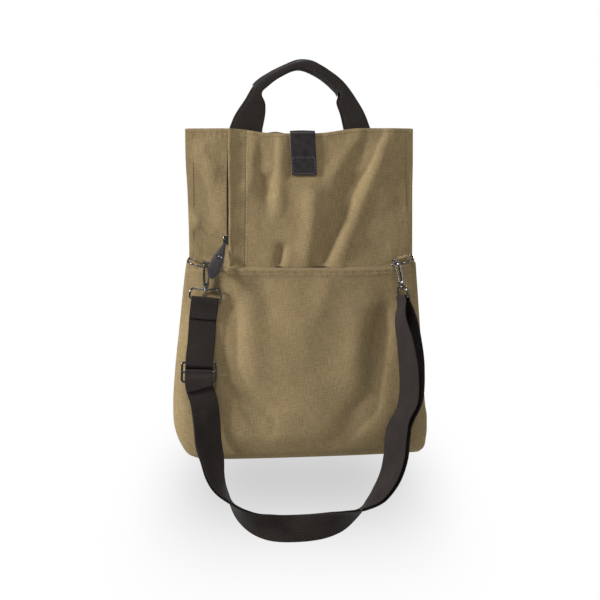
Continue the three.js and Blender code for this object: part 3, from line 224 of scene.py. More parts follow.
def smoothstep(x: Array, low: float, high: float) -> Array:
    """0 below low, 1 above high and a smooth cubic between."""
    t = np.clip((x - low) / (high - low), 0, 1)
    return t * t * (3 - 2 * t)


def fold_depths(wall: Wall, x: Array, z: Array) -> Array:
    """Sum of the wall's folds at places on it: a bell of each fold's spread round its line."""
    total = np.zeros(np.broadcast(x, z).shape)
    for from_x, from_rise, to_x, to_rise, spread, depth in FOLDS[wall]:
        ax, az = from_x * HALF_WIDTH, FLOOR_Z + from_rise * BAG_HEIGHT
        bx, bz = to_x * HALF_WIDTH, FLOOR_Z + to_rise * BAG_HEIGHT
        run = (bx - ax) ** 2 + (bz - az) ** 2
        share = np.clip(((x - ax) * (bx - ax) + (z - az) * (bz - az)) / run, 0, 1)
        away = np.hypot(x - ax - share * (bx - ax), z - az - share * (bz - az))
        total = total + depth * FOLD_DEPTH * np.exp(-((away / (spread * BAG_HEIGHT)) ** 2))
    return total


CREASE_GAIN = 2.1


def crease(x: Array, z: Array, start: tuple, end: tuple, spread: float, height: float) -> Array:
    """A long soft ridge, or a hollow where height is negative, that fades at both ends.

    Args:
        x, z: places on the cloth, in millimetres.
        start, end: the two ends of its line.
        spread: how far it reaches to each side.
        height: how far its middle stands out.
    """
    way = np.array(end) - np.array(start)
    length = math.hypot(*way)
    along = ((x - start[0]) * way[0] + (z - start[1]) * way[1]) / length
    beside = ((x - start[0]) * way[1] - (z - start[1]) * way[0]) / length
    share = along / length
    fade = smoothstep(share, -0.25, 0.25) * (1 - smoothstep(share, 0.75, 1.25))
    return CREASE_GAIN * height * fade * np.exp(-((beside / spread) ** 2))


CREASES = {
    SEED: (
        ((-44, -92), (-42, -195), 11, -3.2),
        ((-62, -98), (-70, -170), 10, 1.6),
        ((-30, -100), (-34, -200), 13, 2.2),
        ((108, -84), (26, -272), 11, -3.4),
        ((125, -90), (52, -272), 13, 2.8),
        ((18, -170), (10, -270), 14, 2.4),
        ((86, -88), (40, -160), 12, 1.6),
        ((152, -100), (140, -190), 12, -1.8),
        ((-24, -245), (-30, -276), 7, -2.6),
        ((-142, -105), (-118, -150), 12, 1.5),
        ((-142, -225), (-108, -262), 10, -2.8),
        ((-160, -200), (-120, -232), 10, 1.8),
        ((-150, -150), (-128, -215), 14, -1.2),
        ((-4, -150), (40, -215), 18, 1.5),
        ((60, -200), (120, -262), 16, -1.4),
    ),
    SEED + 7: (
        ((-92, -330), (-98, -430), 12, -2.6),
        ((-98, -420), (-42, -500), 14, -3.2),
        ((-70, -330), (-66, -440), 18, 2.0),
        ((118, -335), (98, -470), 12, -2.4),
        ((98, -460), (52, -515), 14, -2.6),
        ((84, -340), (70, -450), 18, 1.8),
        ((-60, -285), (-40, -345), 14, -1.6),
        ((40, -290), (20, -360), 16, 1.3),
        ((-10, -300), (10, -400), 22, 1.3),
        ((-150, -340), (-160, -470), 16, 1.5),
        ((140, -350), (150, -480), 16, 1.6),
        ((-20, -470), (60, -505), 20, 1.6),
    ),
    SEED + 40: (
        ((-90, -110), (-40, -270), 14, -2.6),
        ((80, -100), (110, -250), 14, -2.4),
        ((10, -130), (-10, -300), 18, 2.0),
        ((-60, -330), (40, -440), 20, -2.2),
        ((60, -300), (110, -430), 18, 2.0),
        ((-130, -300), (-120, -460), 18, 1.8),
    ),
}


def soft_waves(x: Array, z: Array, size: float, count: int, seed: int) -> Array:
    """A smooth random relief between about -1 and 1: a sum of sine waves in random directions.

    Args:
        x, z: places on the cloth.
        size: middle wavelength.
        count: number of waves.
        seed: seed of the random directions, lengths and phases.
    """
    rng = np.random.default_rng(seed)
    turn = rng.uniform(0, math.pi, count)
    wave = 2 * math.pi / (size * rng.uniform(0.7, 1.5, count))
    phase = rng.uniform(0, 2 * math.pi, count)
    along = x[..., None] * np.cos(turn) + z[..., None] * np.sin(turn)
    return np.sin(along * wave + phase).sum(-1) / math.sqrt(count)


def bag_point(
    u: Array, rise: Array, wall: Wall, depth_in: Array | float = 0.0, stepped: bool = True
) -> Array:
    """A point of the bag's cloth.

    A section between the seams is a bulge of depth times (1 - |across|^flat)^edge, less its folds.

    Args:
        u: place across, from -1 at the left seam to 1 at the right one.
        rise: place up, from 0 at the floor to 1 at the mouth.
        wall: front or back.
        depth_in: distance into the cloth.
        stepped: whether the front steps in under the placket's flap.

    Returns:
        Points in millimetres, with the shape of u and rise together and one more axis.
    """
    u, rise = np.broadcast_arrays(np.asarray(u, float), np.asarray(rise, float))
    row = smooth_columns(BODY_ROWS[:, 0], BODY_ROWS, np.clip(rise, 0, 1))
    _, left, right, front, back, flat, edge, tilt = np.moveaxis(row, -1, 0)
    half_span = (left + right) / 2 * HALF_WIDTH
    centre = (right - left) / 2 * HALF_WIDTH
    depth = (front if wall is Wall.FRONT else back) * HALF_DEPTH
    thin = np.minimum(front, back) * HALF_DEPTH
    inset = (1 - np.clip(depth_in / thin, 0, 1) ** (1 / edge)) ** (1 / flat)
    across = u * inset
    on_left = (across + 1) / (PLACKET_SEAM + 1)
    on_right = (1 - across) / (1 - PLACKET_SEAM)
    hat = np.where(across < PLACKET_SEAM, on_left, on_right)
    lean = PLACKET_LEAN * np.clip(rise - (1 + FOLD_LINE) / 2, (FOLD_LINE - 1) / 2, 1) * hat
    x = centre + half_span * (across + lean)
    dip = MOUTH_DIP * np.exp(-(((across - MOUTH_DIP_AT) / MOUTH_DIP_SPREAD) ** 4))
    dip = dip * smoothstep(rise, FOLD_LINE, 1)
    near_fold = smoothstep(rise, 0.2, FOLD_LINE) * (1 - smoothstep(rise, FOLD_LINE, 0.85))
    sag = POCKET_SAG * (1 - np.abs(across) ** 6) * near_fold
    z = FLOOR_Z + rise * BAG_HEIGHT - dip - sag + BOTTOM_TILT * tilt * across
    bulge = np.maximum(0, 1 - np.abs(across) ** flat) ** edge
    calm = np.minimum(1, (1 - across**2) * 4)
    relief = fold_depths(wall, x, z)
    if wall is Wall.FRONT and stepped:
        share = np.clip((PLACKET_SEAM + SEAM_COLUMN - across) / (2 * SEAM_COLUMN), 0, 1)
        step = share * (PLACKET_CLOTH + GAP)
        relief = relief + step * smoothstep(rise, FOLD_LINE, FOLD_LINE + 0.03)
    reach = depth * bulge - depth_in * np.sign(1 - np.abs(u)) - relief * calm
    return np.stack([x, wall.value * np.maximum(0, reach), z], -1)


def find_on_bag(x: Array, z: Array, wall: Wall, depth_in: float) -> tuple[Array, Array]:
    """The place across and the rise whose cloth point has the given x and z, by repeated steps."""
    u = np.asarray(x, float) / HALF_WIDTH
    rise = (np.asarray(z, float) - FLOOR_Z) / BAG_HEIGHT
    for _ in range(12):
        here = bag_point(u, np.clip(rise, 0, 1), wall, depth_in)
        rise = rise + (z - here[..., 2]) / BAG_HEIGHT
        u = np.clip(u + (x - here[..., 0]) / HALF_WIDTH, -0.98, 0.98)
    return u, np.clip(rise, 0, 1)


def cloth_y(x: Array, z: Array, wall: Wall, depth_in: float = 0.0) -> Array:
    """The y of the bag's cloth at the given x and z."""
    u, rise = find_on_bag(x, z, wall, depth_in)
    return bag_point(u, rise, wall, depth_in)[..., 1]


# Vectors, curves and frames.

def unit(v: Array) -> Array:
    """Vectors scaled to length 1 along the last axis."""
    return v / np.maximum(np.linalg.norm(v, axis=-1, keepdims=True), 1e-12)


def turned(v: Array, axis: Array, angle: float | Array) -> Array:
    """v turned about a unit axis by the right-hand rule (Rodrigues' formula)."""
    c, s = np.cos(angle), np.sin(angle)
    return v * c + np.cross(axis, v) * s + axis * np.sum(axis * v, -1, keepdims=True) * (1 - c)


def catmull(points: Array, t: Array) -> Array:
    """A centripetal Catmull-Rom curve through points, read at shares t of its spans.

    Tangents come from the neighbours, weighted by the square roots of their distances.
    """
    ends = [2 * points[0] - points[1]], [2 * points[-1] - points[-2]]
    p = np.concatenate([ends[0], points, ends[1]])
    place = np.clip(t, 0, 1) * (len(points) - 1)
    k = np.minimum(place.astype(int), len(points) - 2)
    w = (place - k)[..., None]
    p0, p1, p2, p3 = p[k], p[k + 1], p[k + 2], p[k + 3]
    root = [np.sqrt(np.linalg.norm(b - a, axis=-1, keepdims=True)) for a, b in ((p0, p1), (p1, p2), (p2, p3))]
    d1 = np.where(root[1] < 1e-4, 1.0, root[1])
    d0 = np.where(root[0] < 1e-4, d1, root[0])
    d2 = np.where(root[2] < 1e-4, d1, root[2])
    t1 = ((p1 - p0) / d0 - (p2 - p0) / (d0 + d1) + (p2 - p1) / d1) * d1
    t2 = ((p2 - p1) / d1 - (p3 - p1) / (d1 + d2) + (p3 - p2) / d2) * d1
    return p1 + t1 * w + (3 * (p2 - p1) - 2 * t1 - t2) * w**2 + (2 * (p1 - p2) + t1 + t2) * w**3


def lengths_along(path: Array) -> Array:
    """Distance of each point of a path from its start."""
    return np.concatenate([[0], np.cumsum(np.linalg.norm(np.diff(path, axis=0), axis=1))])


def resample(path: Array, count: int) -> Array:
    """count points at even distances along a path of straight pieces."""
    along = lengths_along(path)
    at = np.linspace(0, along[-1], count)
    return np.stack([np.interp(at, along, path[:, k]) for k in range(path.shape[1])], -1)


def tangents(path: Array, closed: bool = False) -> Array:
    """Unit directions along a path, from the neighbours of each point."""
    if closed:
        return unit(np.roll(path, -1, axis=0) - np.roll(path, 1, axis=0))
    return unit(np.gradient(path, axis=0))


# Meshes from grids.

@dataclass(frozen=True)
class Grid:
    """A grid of points, rows by columns, that becomes a mesh of quads.

    wrap_rows and wrap_columns close it on itself. cap closes the first and last row with a pole.
    uv gives two values at each corner, with one more row or column where the grid is closed.
    """

    points: Array
    uv: Array
    wrap_rows: bool = False
    wrap_columns: bool = False
    cap: bool = False
    material_of_quad: Array | None = None


def quads_of(grid: Grid) -> tuple[Array, Array]:
    """The corner indices of a grid's quads, and the same corners in its uv array."""
    rows, columns = grid.points.shape[:2]
    r = np.arange(rows if grid.wrap_rows else rows - 1)[:, None]
    c = np.arange(columns if grid.wrap_columns else columns - 1)[None, :]
    r2, c2 = (r + 1) % rows, (c + 1) % columns
    quads = np.stack([r * columns + c, r * columns + c2, r2 * columns + c2, r2 * columns + c], -1)
    wide = columns + int(grid.wrap_columns)
    corners = np.stack([r * wide + c, r * wide + c + 1, (r + 1) * wide + c + 1, (r + 1) * wide + c], -1)
    return quads.reshape(-1, 4), corners.reshape(-1, 4)


def signed_volume(points: Array, quads: Array) -> float:
    """Volume inside a closed mesh of quads, negative where it is inside out."""
    a, b, c, d = (points[quads[:, k]] for k in range(4))
    return float(np.sum(a * np.cross(b, c)) + np.sum(a * np.cross(c, d))) / 6


def make_mesh(name: str, grids: Sequence[Grid], finishes: Sequence[Finish]) -> bpy.types.Object:
    """One object from closed grids, each turned so that its faces point outwards.

    Args:
        name: name of the piece.
        grids: the grids, in millimetres.
        finishes: the materials; a grid's material_of_quad picks among them.

    Returns:
        The object, at the origin, in metres.
    """
    points, faces, uvs, slots = [], [], [], []
    offset = 0
    for grid in grids:
        rows, columns = grid.points.shape[:2]
        flat = grid.points.reshape(-1, 3)
        quads, corners = quads_of(grid)
        uv = grid.uv.reshape(-1, 2)
        corner_uv = uv[corners]
        fans = np.zeros((0, 3), int)
        if grid.cap:
            poles = np.stack([grid.points[0].mean(0), grid.points[-1].mean(0)])
            first, last = len(flat), len(flat) + 1
            flat = np.vstack([flat, poles])
            c = np.arange(columns)
            c2 = (c + 1) % columns
            base = (rows - 1) * columns
            start = np.stack([c2, c, np.full(columns, first)], -1)
            end = np.stack([base + c, base + c2, np.full(columns, last)], -1)
            fans = np.vstack([start, end])
        volume = signed_volume(flat, quads)
        if len(fans):
            a, b, c = (flat[fans[:, k]] for k in range(3))
            volume += float(np.sum(a * np.cross(b, c))) / 6
        if volume < 0:
            quads, corner_uv, fans = quads[:, ::-1], corner_uv[:, ::-1], fans[:, ::-1]
        points.append(flat)
        faces.extend((quads + offset).tolist())
        faces.extend((fans + offset).tolist())
        fan_uv = np.zeros((len(fans) * 3, 2))
        if len(fans):
            fan_uv[: columns * 3] = uv[0]
            fan_uv[columns * 3 :] = uv[-1]
        uvs.append(np.vstack([corner_uv.reshape(-1, 2), fan_uv]))
        chosen = np.zeros(len(quads), int) if grid.material_of_quad is None else grid.material_of_quad.ravel()
        edge_slot = int(chosen[0]) if len(chosen) else 0
        slots.append(np.concatenate([chosen, np.full(len(fans), edge_slot)]))
        offset += len(flat)
    mesh = bpy.data.meshes.new(name)
    mesh.from_pydata((np.vstack(points) * MM).tolist(), [], faces)
    layer = mesh.uv_layers.new(name="cloth")
    layer.data.foreach_set("uv", (np.vstack(uvs)).astype(np.float32).ravel())
    mesh.polygons.foreach_set("material_index", np.concatenate(slots).astype(np.int32))
    mesh.polygons.foreach_set("use_smooth", np.ones(len(mesh.polygons), bool))
    for finish in finishes:
        mesh.materials.append(finish)
    mesh.update()
    obj = bpy.data.objects.new(name, mesh)
    bpy.context.scene.collection.objects.link(obj)
    return obj


def piece(
    name: str, grids: Sequence[Grid], finishes: Sequence[Finish], body: str, slot: str, *nodes: str
) -> None:
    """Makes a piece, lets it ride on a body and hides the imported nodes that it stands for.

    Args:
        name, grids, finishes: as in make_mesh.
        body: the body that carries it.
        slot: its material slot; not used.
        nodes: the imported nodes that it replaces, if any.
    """
    obj = make_mesh(name, grids, finishes)
    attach(obj, body)
    if nodes:
        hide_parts(*nodes)
    LOG.info("%s: %d faces", obj.name, len(obj.data.polygons))


def uv_of(rows: Array, columns: Array) -> Array:
    """A uv array from the distance down the rows and the distance across the columns."""
    across, along = np.meshgrid(columns, rows)
    return np.stack([across, along], -1)


def rounded_section(
    half_width: float, half_thick: float, corner: float, steps: int, flats: int
) -> Array:
    """A rectangle with round corners, as points going round it.

    Args:
        half_width, half_thick: half its two sizes.
        corner: radius of the corners.
        steps: points on each corner.
        flats: points along each long side.
    """
    radius = min(corner, half_thick * 0.999, half_width * 0.999)
    turns = np.linspace(0, math.pi / 2, steps)
    parts = []
    for quarter, (sx, sy) in enumerate(((1, 1), (-1, 1), (-1, -1), (1, -1))):
        angle = turns + quarter * math.pi / 2
        middle = np.array([sx * (half_width - radius), sy * (half_thick - radius)])
        parts.append(middle + radius * np.stack([np.cos(angle), np.sin(angle)], -1))
        if quarter % 2 == 0:
            along = np.linspace(1, -1, flats + 2)[1:-1] * sx * (half_width - radius)
            parts.append(np.stack([along, np.full(flats, sy * half_thick)], -1))
    return np.vstack(parts)


def sweep(
    path: Array, a: Array, b: Array, section: Array, closed: bool = False, sizes: Array | None = None
) -> Grid:
    """A section carried along a path.

    Args:
        path: points of the path.
        a, b: the directions of the section's two axes at each point.
        section: points of the section, in two values.
        closed: whether the path closes on itself.
        sizes: the section's scale at each point, in one or two values.
    """
    scale = np.ones((len(path), 2))
    if sizes is not None:
        scale = scale * np.asarray(sizes, float).reshape(len(path), -1)
    x = section[None, :, 0] * scale[:, 0:1]
    y = section[None, :, 1] * scale[:, 1:2]
    points = path[:, None] + x[..., None] * a[:, None] + y[..., None] * b[:, None]
    loop = np.vstack([section, section[:1]])
    around = lengths_along(loop)
    along_path = np.vstack([path, path[:1]]) if closed else path
    return Grid(points, uv_of(lengths_along(along_path), around), closed, True, not closed)


def circle_section(radius: float, count: int = 20) -> Array:
    """Points round a circle."""
    turn = np.arange(count) * 2 * math.pi / count
    return radius * np.stack([np.cos(turn), np.sin(turn)], -1)


def tube(
    path: Array,
    radius: float,
    closed: bool = False,
    sizes: Array | None = None,
    count: int = 20,
    normal: Array | None = None,
) -> Grid:
    """A round tube along a path, whose section keeps to a fixed normal or to a carried one."""
    along = tangents(path, closed)
    if normal is None:
        guess = np.array([0.0, 0.0, 1.0]) if abs(along[0][2]) < 0.9 else np.array([1.0, 0.0, 0.0])
        b = np.zeros_like(path)
        b[0] = unit(np.cross(along[0], np.cross(guess, along[0])))
        for k in range(1, len(path)):
            b[k] = unit(b[k - 1] - along[k] * np.dot(b[k - 1], along[k]))
    else:
        b = np.broadcast_to(normal, path.shape)
    a = unit(np.cross(along, b))
    return sweep(path, a, b, circle_section(radius, count), closed, sizes)


def turned_profile(
    centre: Array, axis: Array, profile: Sequence[tuple[float, float]], count: int
) -> Grid:
    """A profile of (radius, height) pairs turned about an axis."""
    helper = np.array([1.0, 0.0, 0.0]) if abs(axis[0]) < 0.9 else np.array([0.0, 1.0, 0.0])
    a = unit(np.cross(axis, helper))
    b = np.cross(axis, a)
    rows = np.array(profile)
    ring = circle_section(1.0, count)
    spokes = ring[:, 0:1] * a + ring[:, 1:2] * b
    points = centre + rows[:, 1, None, None] * axis + rows[:, 0, None, None] * spokes
    return Grid(points, uv_of(rows[:, 1], np.linspace(0, 2 * math.pi, count + 1)), False, True, True)


# Materials.

class Nodes:
    """A short way to write a material's nodes, whose inputs are values or other sockets."""

    def __init__(self, name: str) -> None:
        """Starts a material with its surface shader."""
        self.material = bpy.data.materials.new(name)
        self.material.use_nodes = True
        self.tree = self.material.node_tree
        self.shader = self.tree.nodes["Principled BSDF"]
        self.uv = self.tree.nodes.new("ShaderNodeTexCoord").outputs["UV"]

    def node(self, kind: str, output: str | int, settings: dict | None = None, **inputs) -> Socket:
        """Adds a node and returns one of its outputs.

        Args:
            kind: the node's type, without the ShaderNode in front.
            output: the name or number of the output.
            settings: properties of the node.
            inputs: its inputs by name, with underscores for spaces, or by i0, i1 for numbers.
        """
        made = self.tree.nodes.new("ShaderNode" + kind)
        for key, value in (settings or {}).items():
            setattr(made, key, value)
        for key, value in inputs.items():
            numbered = key[0] == "i" and key[1:].isdigit()
            which = int(key[1:]) if numbered else key.replace("_", " ")
            self.set(made.inputs[which], value)
        return made.outputs[output]

    def set(self, slot: Socket, value) -> None:
        """Links a socket to an input, or writes a value into it."""
        if isinstance(value, Socket):
            self.tree.links.new(value, slot)
        else:
            slot.default_value = value

    def math(self, operation: str, a, b=0.0, c=0.0) -> Socket:
        """One step of arithmetic."""
        return self.node("Math", 0, {"operation": operation}, i0=a, i1=b, i2=c)

    def split(self, vector) -> tuple[Socket, Socket]:
        """The first two values of a vector."""
        made = self.tree.nodes.new("ShaderNodeSeparateXYZ")
        self.set(made.inputs[0], vector)
        return made.outputs[0], made.outputs[1]

    def stretched(self, x: float, y: float) -> Socket:
        """The uv coordinates scaled on each axis."""
        return self.node("Mapping", 0, None, Vector=self.uv, Scale=(x, y, 1.0))

    def noise(self, vector, scale: float, detail: float, roughness: float = 0.5) -> Socket:
        """A noise pattern between 0 and 1."""
        values = {"Vector": vector, "Scale": scale, "Detail": detail, "Roughness": roughness}
        return self.node("TexNoise", 0, None, **values)

    def mix(self, share, a, b) -> Socket:
        """A mix of two colours."""
        made = self.tree.nodes.new("ShaderNodeMix")
        made.data_type = "RGBA"
        self.set(made.inputs["Factor"], share)
        self.set(made.inputs[6], a)
        self.set(made.inputs[7], b)
        return made.outputs[2]

    def ramp(self, value, low: float, high: float, to_low: float = 0.0, to_high: float = 1.0) -> Socket:
        """A value moved from one range to another, and held inside it."""
        return self.node("MapRange", 0, None, i0=value, i1=low, i2=high, i3=to_low, i4=to_high)

    def bump(self, height, strength: float, distance: float) -> Socket:
        """A bump from a height."""
        return self.node("Bump", 0, None, Height=height, Strength=strength, Distance=distance)

    def cloth(self, colour, roughness: float, bump, sheen: float) -> Finish:
        """Finishes a matt cloth with a faint sheen."""
        return self.finish(
            Base_Color=colour, Roughness=roughness, Normal=bump,
            Sheen_Weight=sheen, Sheen_Roughness=0.5, Specular_IOR_Level=0.15,
        )

    def finish(self, **values) -> Finish:
        """Sets the shader's sockets and returns the material."""
        for key, value in values.items():
            self.set(self.shader.inputs[key.replace("_", " ")], value)
        return self.material


def rgb(red: float, green: float, blue: float) -> tuple[float, float, float, float]:
    """A linear colour with full alpha."""
    return (red, green, blue, 1.0)


@dataclass(frozen=True)
class Canvas:
    """Heavy plain-weave canvas: two sets of threads with slubs, over soft dyed blotches."""

    light: tuple = rgb(0.385, 0.29, 0.154)
    dark: tuple = rgb(0.208, 0.15, 0.073)
    thread: float = 1.75
    relief: float = 0.3

    def build(self, name: str = "canvas") -> Finish:
        """Makes the material on uv coordinates in millimetres."""
        n = Nodes(name)
        u, v = n.split(n.uv)
        wobble = n.noise(n.stretched(0.35, 0.35), 1.0, 2.0)
        shift = n.math("MULTIPLY_ADD", wobble, 0.8, -0.4)
        wave = 2 * math.pi / self.thread
        weft = n.math("SINE", n.math("MULTIPLY", n.math("ADD", v, shift), wave))
        warp = n.math("SINE", n.math("MULTIPLY", n.math("ADD", u, shift), wave))
        weave = n.math("MULTIPLY", weft, warp)
        across_slub = n.noise(n.stretched(0.09, 1.1), 1.0, 3.0, 0.6)
        along_slub = n.noise(n.stretched(1.1, 0.07), 1.0, 3.0, 0.6)
        slub = n.math("ADD", across_slub, along_slub)
        blotch = n.noise(n.stretched(0.02, 0.02), 1.0, 4.0, 0.55)
        grain = n.noise(n.stretched(1.0, 1.0), 0.55, 3.0, 0.7)
        tone = n.math("ADD", n.ramp(slub, 0.8, 1.24, 0.0, 0.62), n.math("MULTIPLY", weave, 0.17))
        tone = n.math("ADD", tone, n.ramp(blotch, 0.3, 0.7, -0.02, 0.16))
        tone = n.math("ADD", tone, n.ramp(grain, 0.32, 0.68, -0.16, 0.24))
        colour = n.mix(n.ramp(tone, 0.0, 1.0), self.dark, self.light)
        height = n.math("ADD", n.math("MULTIPLY", weave, 0.5), n.math("MULTIPLY", slub, 1.0))
        bump = n.bump(height, 0.6, self.relief * MM)
        return n.cloth(colour, 0.93, bump, 0.05)


@dataclass(frozen=True)
class Webbing:
    """Dark cotton webbing: chevron ribs across the band and a firm edge."""

    light: tuple = rgb(0.05, 0.04, 0.035)
    dark: tuple = rgb(0.005, 0.004, 0.0036)
    rib: float = 3.0
    chevron: float = 6.3
    relief: float = 0.35

    def build(self, name: str = "webbing") -> Finish:
        """Makes the material on uv coordinates in millimetres, u across the band."""
        n = Nodes(name)
        u, v = n.split(n.uv)
        fold = n.math("PINGPONG", u, self.chevron)
        rib = n.math("SINE", n.math("MULTIPLY", n.math("ADD", v, fold), 2 * math.pi / self.rib))
        column = n.math("SINE", n.math("MULTIPLY", u, 2 * math.pi / 2.1))
        fray = n.noise(n.stretched(1.0, 1.0), 1.3, 3.0, 0.6)
        blotch = n.noise(n.stretched(0.05, 0.03), 1.0, 3.0)
        weave = n.math("ADD", n.math("MULTIPLY", rib, 0.5), n.math("MULTIPLY", column, 0.22))
        tone = n.math("ADD", n.ramp(weave, -0.6, 0.6, 0.0, 0.8), n.ramp(fray, 0.35, 0.65, -0.15, 0.2))
        tone = n.math("ADD", tone, n.ramp(blotch, 0.3, 0.7, -0.06, 0.12))
        colour = n.mix(n.ramp(tone, 0.0, 1.0), self.dark, self.light)
        bump = n.bump(n.math("ADD", weave, fray), 0.7, self.relief * MM)
        return n.cloth(colour, 0.88, bump, 0.04)


@dataclass(frozen=True)
class Leather:
    """Smooth dark leather with a fine grain and a soft shine."""

    light: tuple = rgb(0.036, 0.03, 0.033)
    dark: tuple = rgb(0.018, 0.015, 0.0165)
    roughness: float = 0.4

    def build(self, name: str = "leather") -> Finish:
        """Makes the material."""
        n = Nodes(name)
        even = n.stretched(1.0, 1.0)
        grain = n.node("TexVoronoi", "Distance", {"feature": "SMOOTH_F1"}, Vector=even, Scale=1.1)
        soft = n.noise(n.stretched(0.12, 0.12), 1.0, 4.0, 0.6)
        fine = n.noise(n.stretched(1.0, 1.0), 2.2, 3.0, 0.6)
        colour = n.mix(n.ramp(soft, 0.3, 0.72), self.dark, self.light)
        height = n.math("ADD", grain, n.math("MULTIPLY", fine, 0.6))
        bump = n.bump(height, 0.35, 0.12 * MM)
        rough = n.ramp(soft, 0.3, 0.7, self.roughness - 0.06, self.roughness + 0.1)
        return n.finish(Base_Color=colour, Roughness=rough, Normal=bump, Specular_IOR_Level=0.32)


@dataclass(frozen=True)
class Metal:
    """Dark plated metal with a faint brushed haze."""

    base: tuple = rgb(0.2, 0.195, 0.195)
    roughness: float = 0.18

    def build(self, name: str = "gunmetal") -> Finish:
        """Makes the material."""
        n = Nodes(name)
        haze = n.noise(n.stretched(0.25, 0.25), 1.0, 4.0, 0.6)
        scratch = n.noise(n.stretched(0.4, 4.0), 1.0, 3.0, 0.6)
        colour = n.mix(n.ramp(haze, 0.3, 0.7), tuple(0.72 * c for c in self.base[:3]) + (1.0,), self.base)
        rough = n.ramp(haze, 0.3, 0.7, self.roughness - 0.06, self.roughness + 0.1)
        bump = n.bump(scratch, 0.12, 0.03 * MM)
        return n.finish(Base_Color=colour, Metallic=1.0, Roughness=rough, Normal=bump)


@dataclass(frozen=True)
class Thread:
    """Twisted sewing thread."""

    base: tuple

    def build(self, name: str) -> Finish:
        """Makes the material."""
        n = Nodes(name)
        u, v = n.split(n.uv)
        twist = n.math("SINE", n.math("MULTIPLY", n.math("ADD", u, v), 9.0))
        colour = n.mix(n.ramp(twist, -1.0, 1.0), tuple(0.7 * c for c in self.base[:3]) + (1.0,), self.base)
        return n.finish(Base_Color=colour, Roughness=0.75, Normal=n.bump(twist, 0.4, 0.06 * MM))


@dataclass
class Finishes:
    """All the materials of the bag."""

    canvas: Finish = field(init=False)
    lining: Finish = field(init=False)
    webbing: Finish = field(init=False)
    leather: Finish = field(init=False)
    raw_edge: Finish = field(init=False)
    metal: Finish = field(init=False)
    khaki_thread: Finish = field(init=False)
    dark_thread: Finish = field(init=False)
    tab_thread: Finish = field(init=False)
    tape: Finish = field(init=False)

    def __post_init__(self) -> None:
        """Builds each material once."""
        self.canvas = Canvas().build()
        # The inside faces use a darker copy of the canvas: painted shade inside the bag.
        self.lining = Canvas(light=rgb(0.3, 0.22, 0.125), dark=rgb(0.18, 0.13, 0.07)).build("canvas_inside_painted_shade")
        self.webbing = Webbing().build()
        self.leather = Leather().build()
        raw = Leather(light=rgb(0.17, 0.14, 0.13), dark=rgb(0.07, 0.055, 0.05), roughness=0.7)
        self.raw_edge = raw.build("raw_edge")
        self.metal = Metal().build()
        # The canvas stitches' thread is much darker than the canvas: partly the thread's own colour, partly
        # painted shade between the stitches.
        self.khaki_thread = Thread(rgb(0.115, 0.085, 0.045)).build("khaki_thread")
        self.dark_thread = Thread(rgb(0.04, 0.034, 0.034)).build("dark_thread")
        self.tab_thread = Thread(rgb(0.13, 0.115, 0.115)).build("tab_thread")
        # The zip tape's dark colour is partly its own and partly painted shadow under the placket's free
        # edge.
        self.tape = Webbing(light=rgb(0.05, 0.04, 0.035), rib=0.9, relief=0.15).build("zip_tape_with_painted_shadow")


# Stitches.

@dataclass(frozen=True)
class Stitching:
    """A row of stitches: how long each one is, the gap to the next and how thick the thread is."""

    length: float = 3.2
    gap: float = 1.2
    radius: float = 0.42
    sink: float = 0.1

    def grid_of(self, path: Array, out: Array) -> list[Grid]:
        """Stitches along a path as one stack of closed grids.

        Each is an ellipse turned about the path, with radius sin(t) and length cos(t).

        Args:
            path: points on the cloth.
            out: direction out of the cloth at each point.
        """
        along = lengths_along(path)
        pitch = self.length + self.gap
        count = max(1, int(along[-1] / pitch))
        middle = (np.arange(count) + 0.5) * along[-1] / count
        at = np.stack([np.interp(middle, along, path[:, k]) for k in range(3)], -1)
        ahead = np.stack([np.interp(middle + 0.5, along, path[:, k]) for k in range(3)], -1)
        behind = np.stack([np.interp(middle - 0.5, along, path[:, k]) for k in range(3)], -1)
        way = unit(ahead - behind)
        up = unit(np.stack([np.interp(middle, along, out[:, k]) for k in range(3)], -1))
        side = unit(np.cross(way, up))
        up = np.cross(side, way)
        polar = np.linspace(0.12, math.pi - 0.12, 6)
        turn = np.arange(6) * math.pi / 3
        length = self.length / 2 * np.cos(polar)
        radius = self.radius * np.sin(polar) ** 0.5
        grids = []
        for k in range(count):
            spokes = np.cos(turn)[None, :, None] * side[k] + 0.8 * np.sin(turn)[None, :, None] * up[k]
            ring = radius[:, None, None] * spokes
            points = at[k] - self.sink * up[k] + length[:, None, None] * way[k] + ring
            grids.append(Grid(points, uv_of(length, np.linspace(0, 2, 7)), False, True, True))
        return grids


def stitch_piece(
    name: str,
    rows: Sequence[tuple[Array, Array]],
    finish: Finish,
    slot: str,
    how: Stitching = Stitching(),
) -> None:
    """One piece with several rows of stitches, each given as a path and its outward directions."""
    grids = [grid for path, out in rows for grid in how.grid_of(path, out)]
    piece(name, grids, [finish], "bag", slot)


# The canvas parts.

def detail_relief(x: Array, z: Array, rise: Array, seed: int) -> Array:
    """Small unevenness of the cloth in millimetres, added outwards: waves and puckers at the seams."""
    waves = 0.55 * soft_waves(x, z, 95.0, 7, seed) + 0.22 * soft_waves(x, z, 34.0, 9, seed + 1)
    fine = 0.07 * soft_waves(x, z, 13.0, 12, seed + 2)
    to_hem = (1 - rise) * BAG_HEIGHT
    pucker = 0.22 * np.sin(x * 0.62 + 2 * np.sin(x * 0.11)) * np.exp(-((to_hem - 7) / 6) ** 2)
    folds = sum(crease(x, z, *line) for line in CREASES.get(seed, ()))
    return (waves + folds) * smoothstep(rise, 0.0, 0.06) + fine + pucker


# Depths and widths between which the cloth comes free of the handles' tails and of the tab.
TAILS_FREE = (138, 175)
TAB_FREE = (146, 185)
TAB_SIDES = (19, 34)
TAB_X = 3.2
FREE_BUMP = 12


